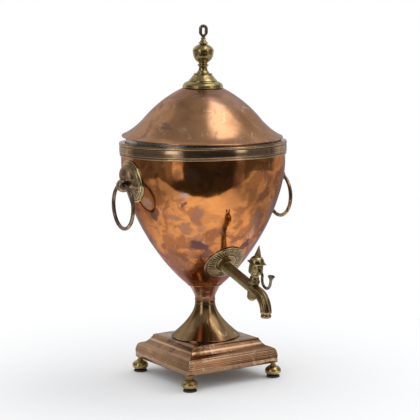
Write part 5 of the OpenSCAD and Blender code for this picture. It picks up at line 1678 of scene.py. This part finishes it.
# %% Lever
LEVER_UP = 24.5
LEVER_WIRE = 1.9
LEVER_OUT = 12
LEVER_CORNER = 6
LEVER_BOW = 10.5
BOW_MIDDLE = LEVER_OUT + LEVER_CORNER + LEVER_BOW
BUTTON_OUT = BOW_MIDDLE + LEVER_BOW


def circle_part(y, z, radius, start, end, count):
    """Points round a centre in the tap's upright plane, angles from outwards, upwards positive."""
    return [(0, y - radius * math.cos(math.radians(a)), z + radius * math.sin(math.radians(a)))
            for a in spread(start, end, count)]


lever_path = [(0, -4.5, LEVER_UP + LEVER_CORNER), (0, -8, LEVER_UP + LEVER_CORNER)]
lever_path += circle_part(-LEVER_OUT, LEVER_UP, LEVER_CORNER, 90, 0, 10)
lever_path += circle_part(-BOW_MIDDLE, LEVER_UP, LEVER_BOW, 180, 360, 24)[1:]
lever_path += [(0, -BUTTON_OUT, LEVER_UP + 2), (0, -BUTTON_OUT, LEVER_UP + 5)]
wire = bpy.data.curves.new("lever_wire", "CURVE")
wire.dimensions = "3D"
wire.bevel_depth = LEVER_WIRE * MM
wire.bevel_resolution = 6
wire.use_fill_caps = True
strand = wire.splines.new("POLY")
strand.points.add(len(lever_path) - 1)
for point, place in zip(strand.points, lever_path):
    point.co = (*(c * MM for c in place), 1)
lever = bpy.data.objects.new("key_lever_wire", wire)
bpy.context.scene.collection.objects.link(lever)
pick(lever)
bpy.ops.object.convert(target="MESH")
bpy.ops.object.mode_set(mode="EDIT")
tidy_shell(lever, 50)
wear_edges(lever)
shift(lever, BARREL_FRAME)
dress(lever, bronze_lever, "key", "lever_brass", "key_lever")

# %% [markdown]
# The button is turned like a small trumpet and stands on the wire's end.

# %% Button
button = turned("key_button_turned", [
    (0, 0), (2.0, 0), (2.1, 0.4), (2.3, 1.4), (2.8, 2.7), (3.6, 4.0), (4.5, 5.2), (4.8, 5.7),
    (4.8, 6.1), (4.5, 6.4), (3.6, 6.3), (2.4, 5.9), (0, 5.7)], sides=48)
wear_edges(button)
shift(button, BARREL_FRAME @ Matrix.Translation((0, -BUTTON_OUT, LEVER_UP + 4.55)))
dress(button, bronze_lever, "key", "lever_brass", "key_button")

# %% [markdown]
# ## What stays from the solid model
# Nuts, rods, washers, the heater's tube and iron, and the lid's inner ring are right as they
# are. They only need their own metals: tinning, black iron, plain brass and leather.

# %% Inner pieces
def leather_brown():
    """A brown leather washer with a fine grain."""
    material, tree = new_material("leather_brown")
    place = node(tree, "TexCoord").outputs["Object"]
    grain = node(tree, "TexVoronoi", {"Vector": place, "Scale": 900.0}).outputs["Distance"]
    shade = node(tree, "TexNoise", {"Vector": place, "Scale": 160.0}).outputs[0]
    colour = node(tree, "Mix", {0: shade, 6: (0.12, 0.06, 0.03, 1), 7: (0.26, 0.15, 0.08, 1)},
                  data_type="RGBA").outputs[2]
    bump_node = node(tree, "Bump", {"Height": grain, "Distance": 0.15 * MM})
    face = node(tree, "BsdfPrincipled", {"Base Color": colour, "Roughness": 0.75,
                                         "Normal": bump_node.outputs["Normal"]})
    show(tree, face)
    return material


black_iron = metal("black_iron", (0.16, 0.15, 0.14), (0.12, 0.08, 0.06), (0.22, 0.10, 0.05),
                   (0.40, 0.39, 0.38), uneven=0.4, stain_size=0.02, stain_cover=0.5,
                   blotch_size=0.01, blotch_cover=0.35, blotch_edge=0.06, polish=0.45,
                   dullness=0.7, seed=32.0)
plain_brass = metal("plain_brass", (0.58, 0.45, 0.20), (0.40, 0.29, 0.13), (0.24, 0.16, 0.08),
                    BARE_BRASS, uneven=0.1, stain_size=0.01, stain_cover=0.4,
                    blotch_size=0.006, blotch_cover=0.2, polish=0.3, dullness=0.45, seed=34.0)
inner_finishes = {
    tin_lining: ["heater_sleeve", "sleeve_cover", "lid_bezel", "handle_washers", "handle_nuts",
                 "tap_strainer"],
    black_iron: ["heater_iron", "iron_eye", "tie_rod", "tie_washer", "tie_nut", "finial_stud",
                 "finial_washer", "handle_studs"],
    plain_brass: ["base_boss", "cover_knob", "foot_nuts", "corner_plates", "finial_nut",
                  "tap_plug", "plug_washer", "plug_screw", "tap_nut"],
    leather_brown(): ["tap_gasket"]}
for finish, names in inner_finishes.items():
    for name in names:
        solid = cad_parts[name]
        solid.data.materials.clear()
        solid.data.materials.append(finish)
print("solid nodes with a finish of their own:", sum(map(len, inner_finishes.values())))
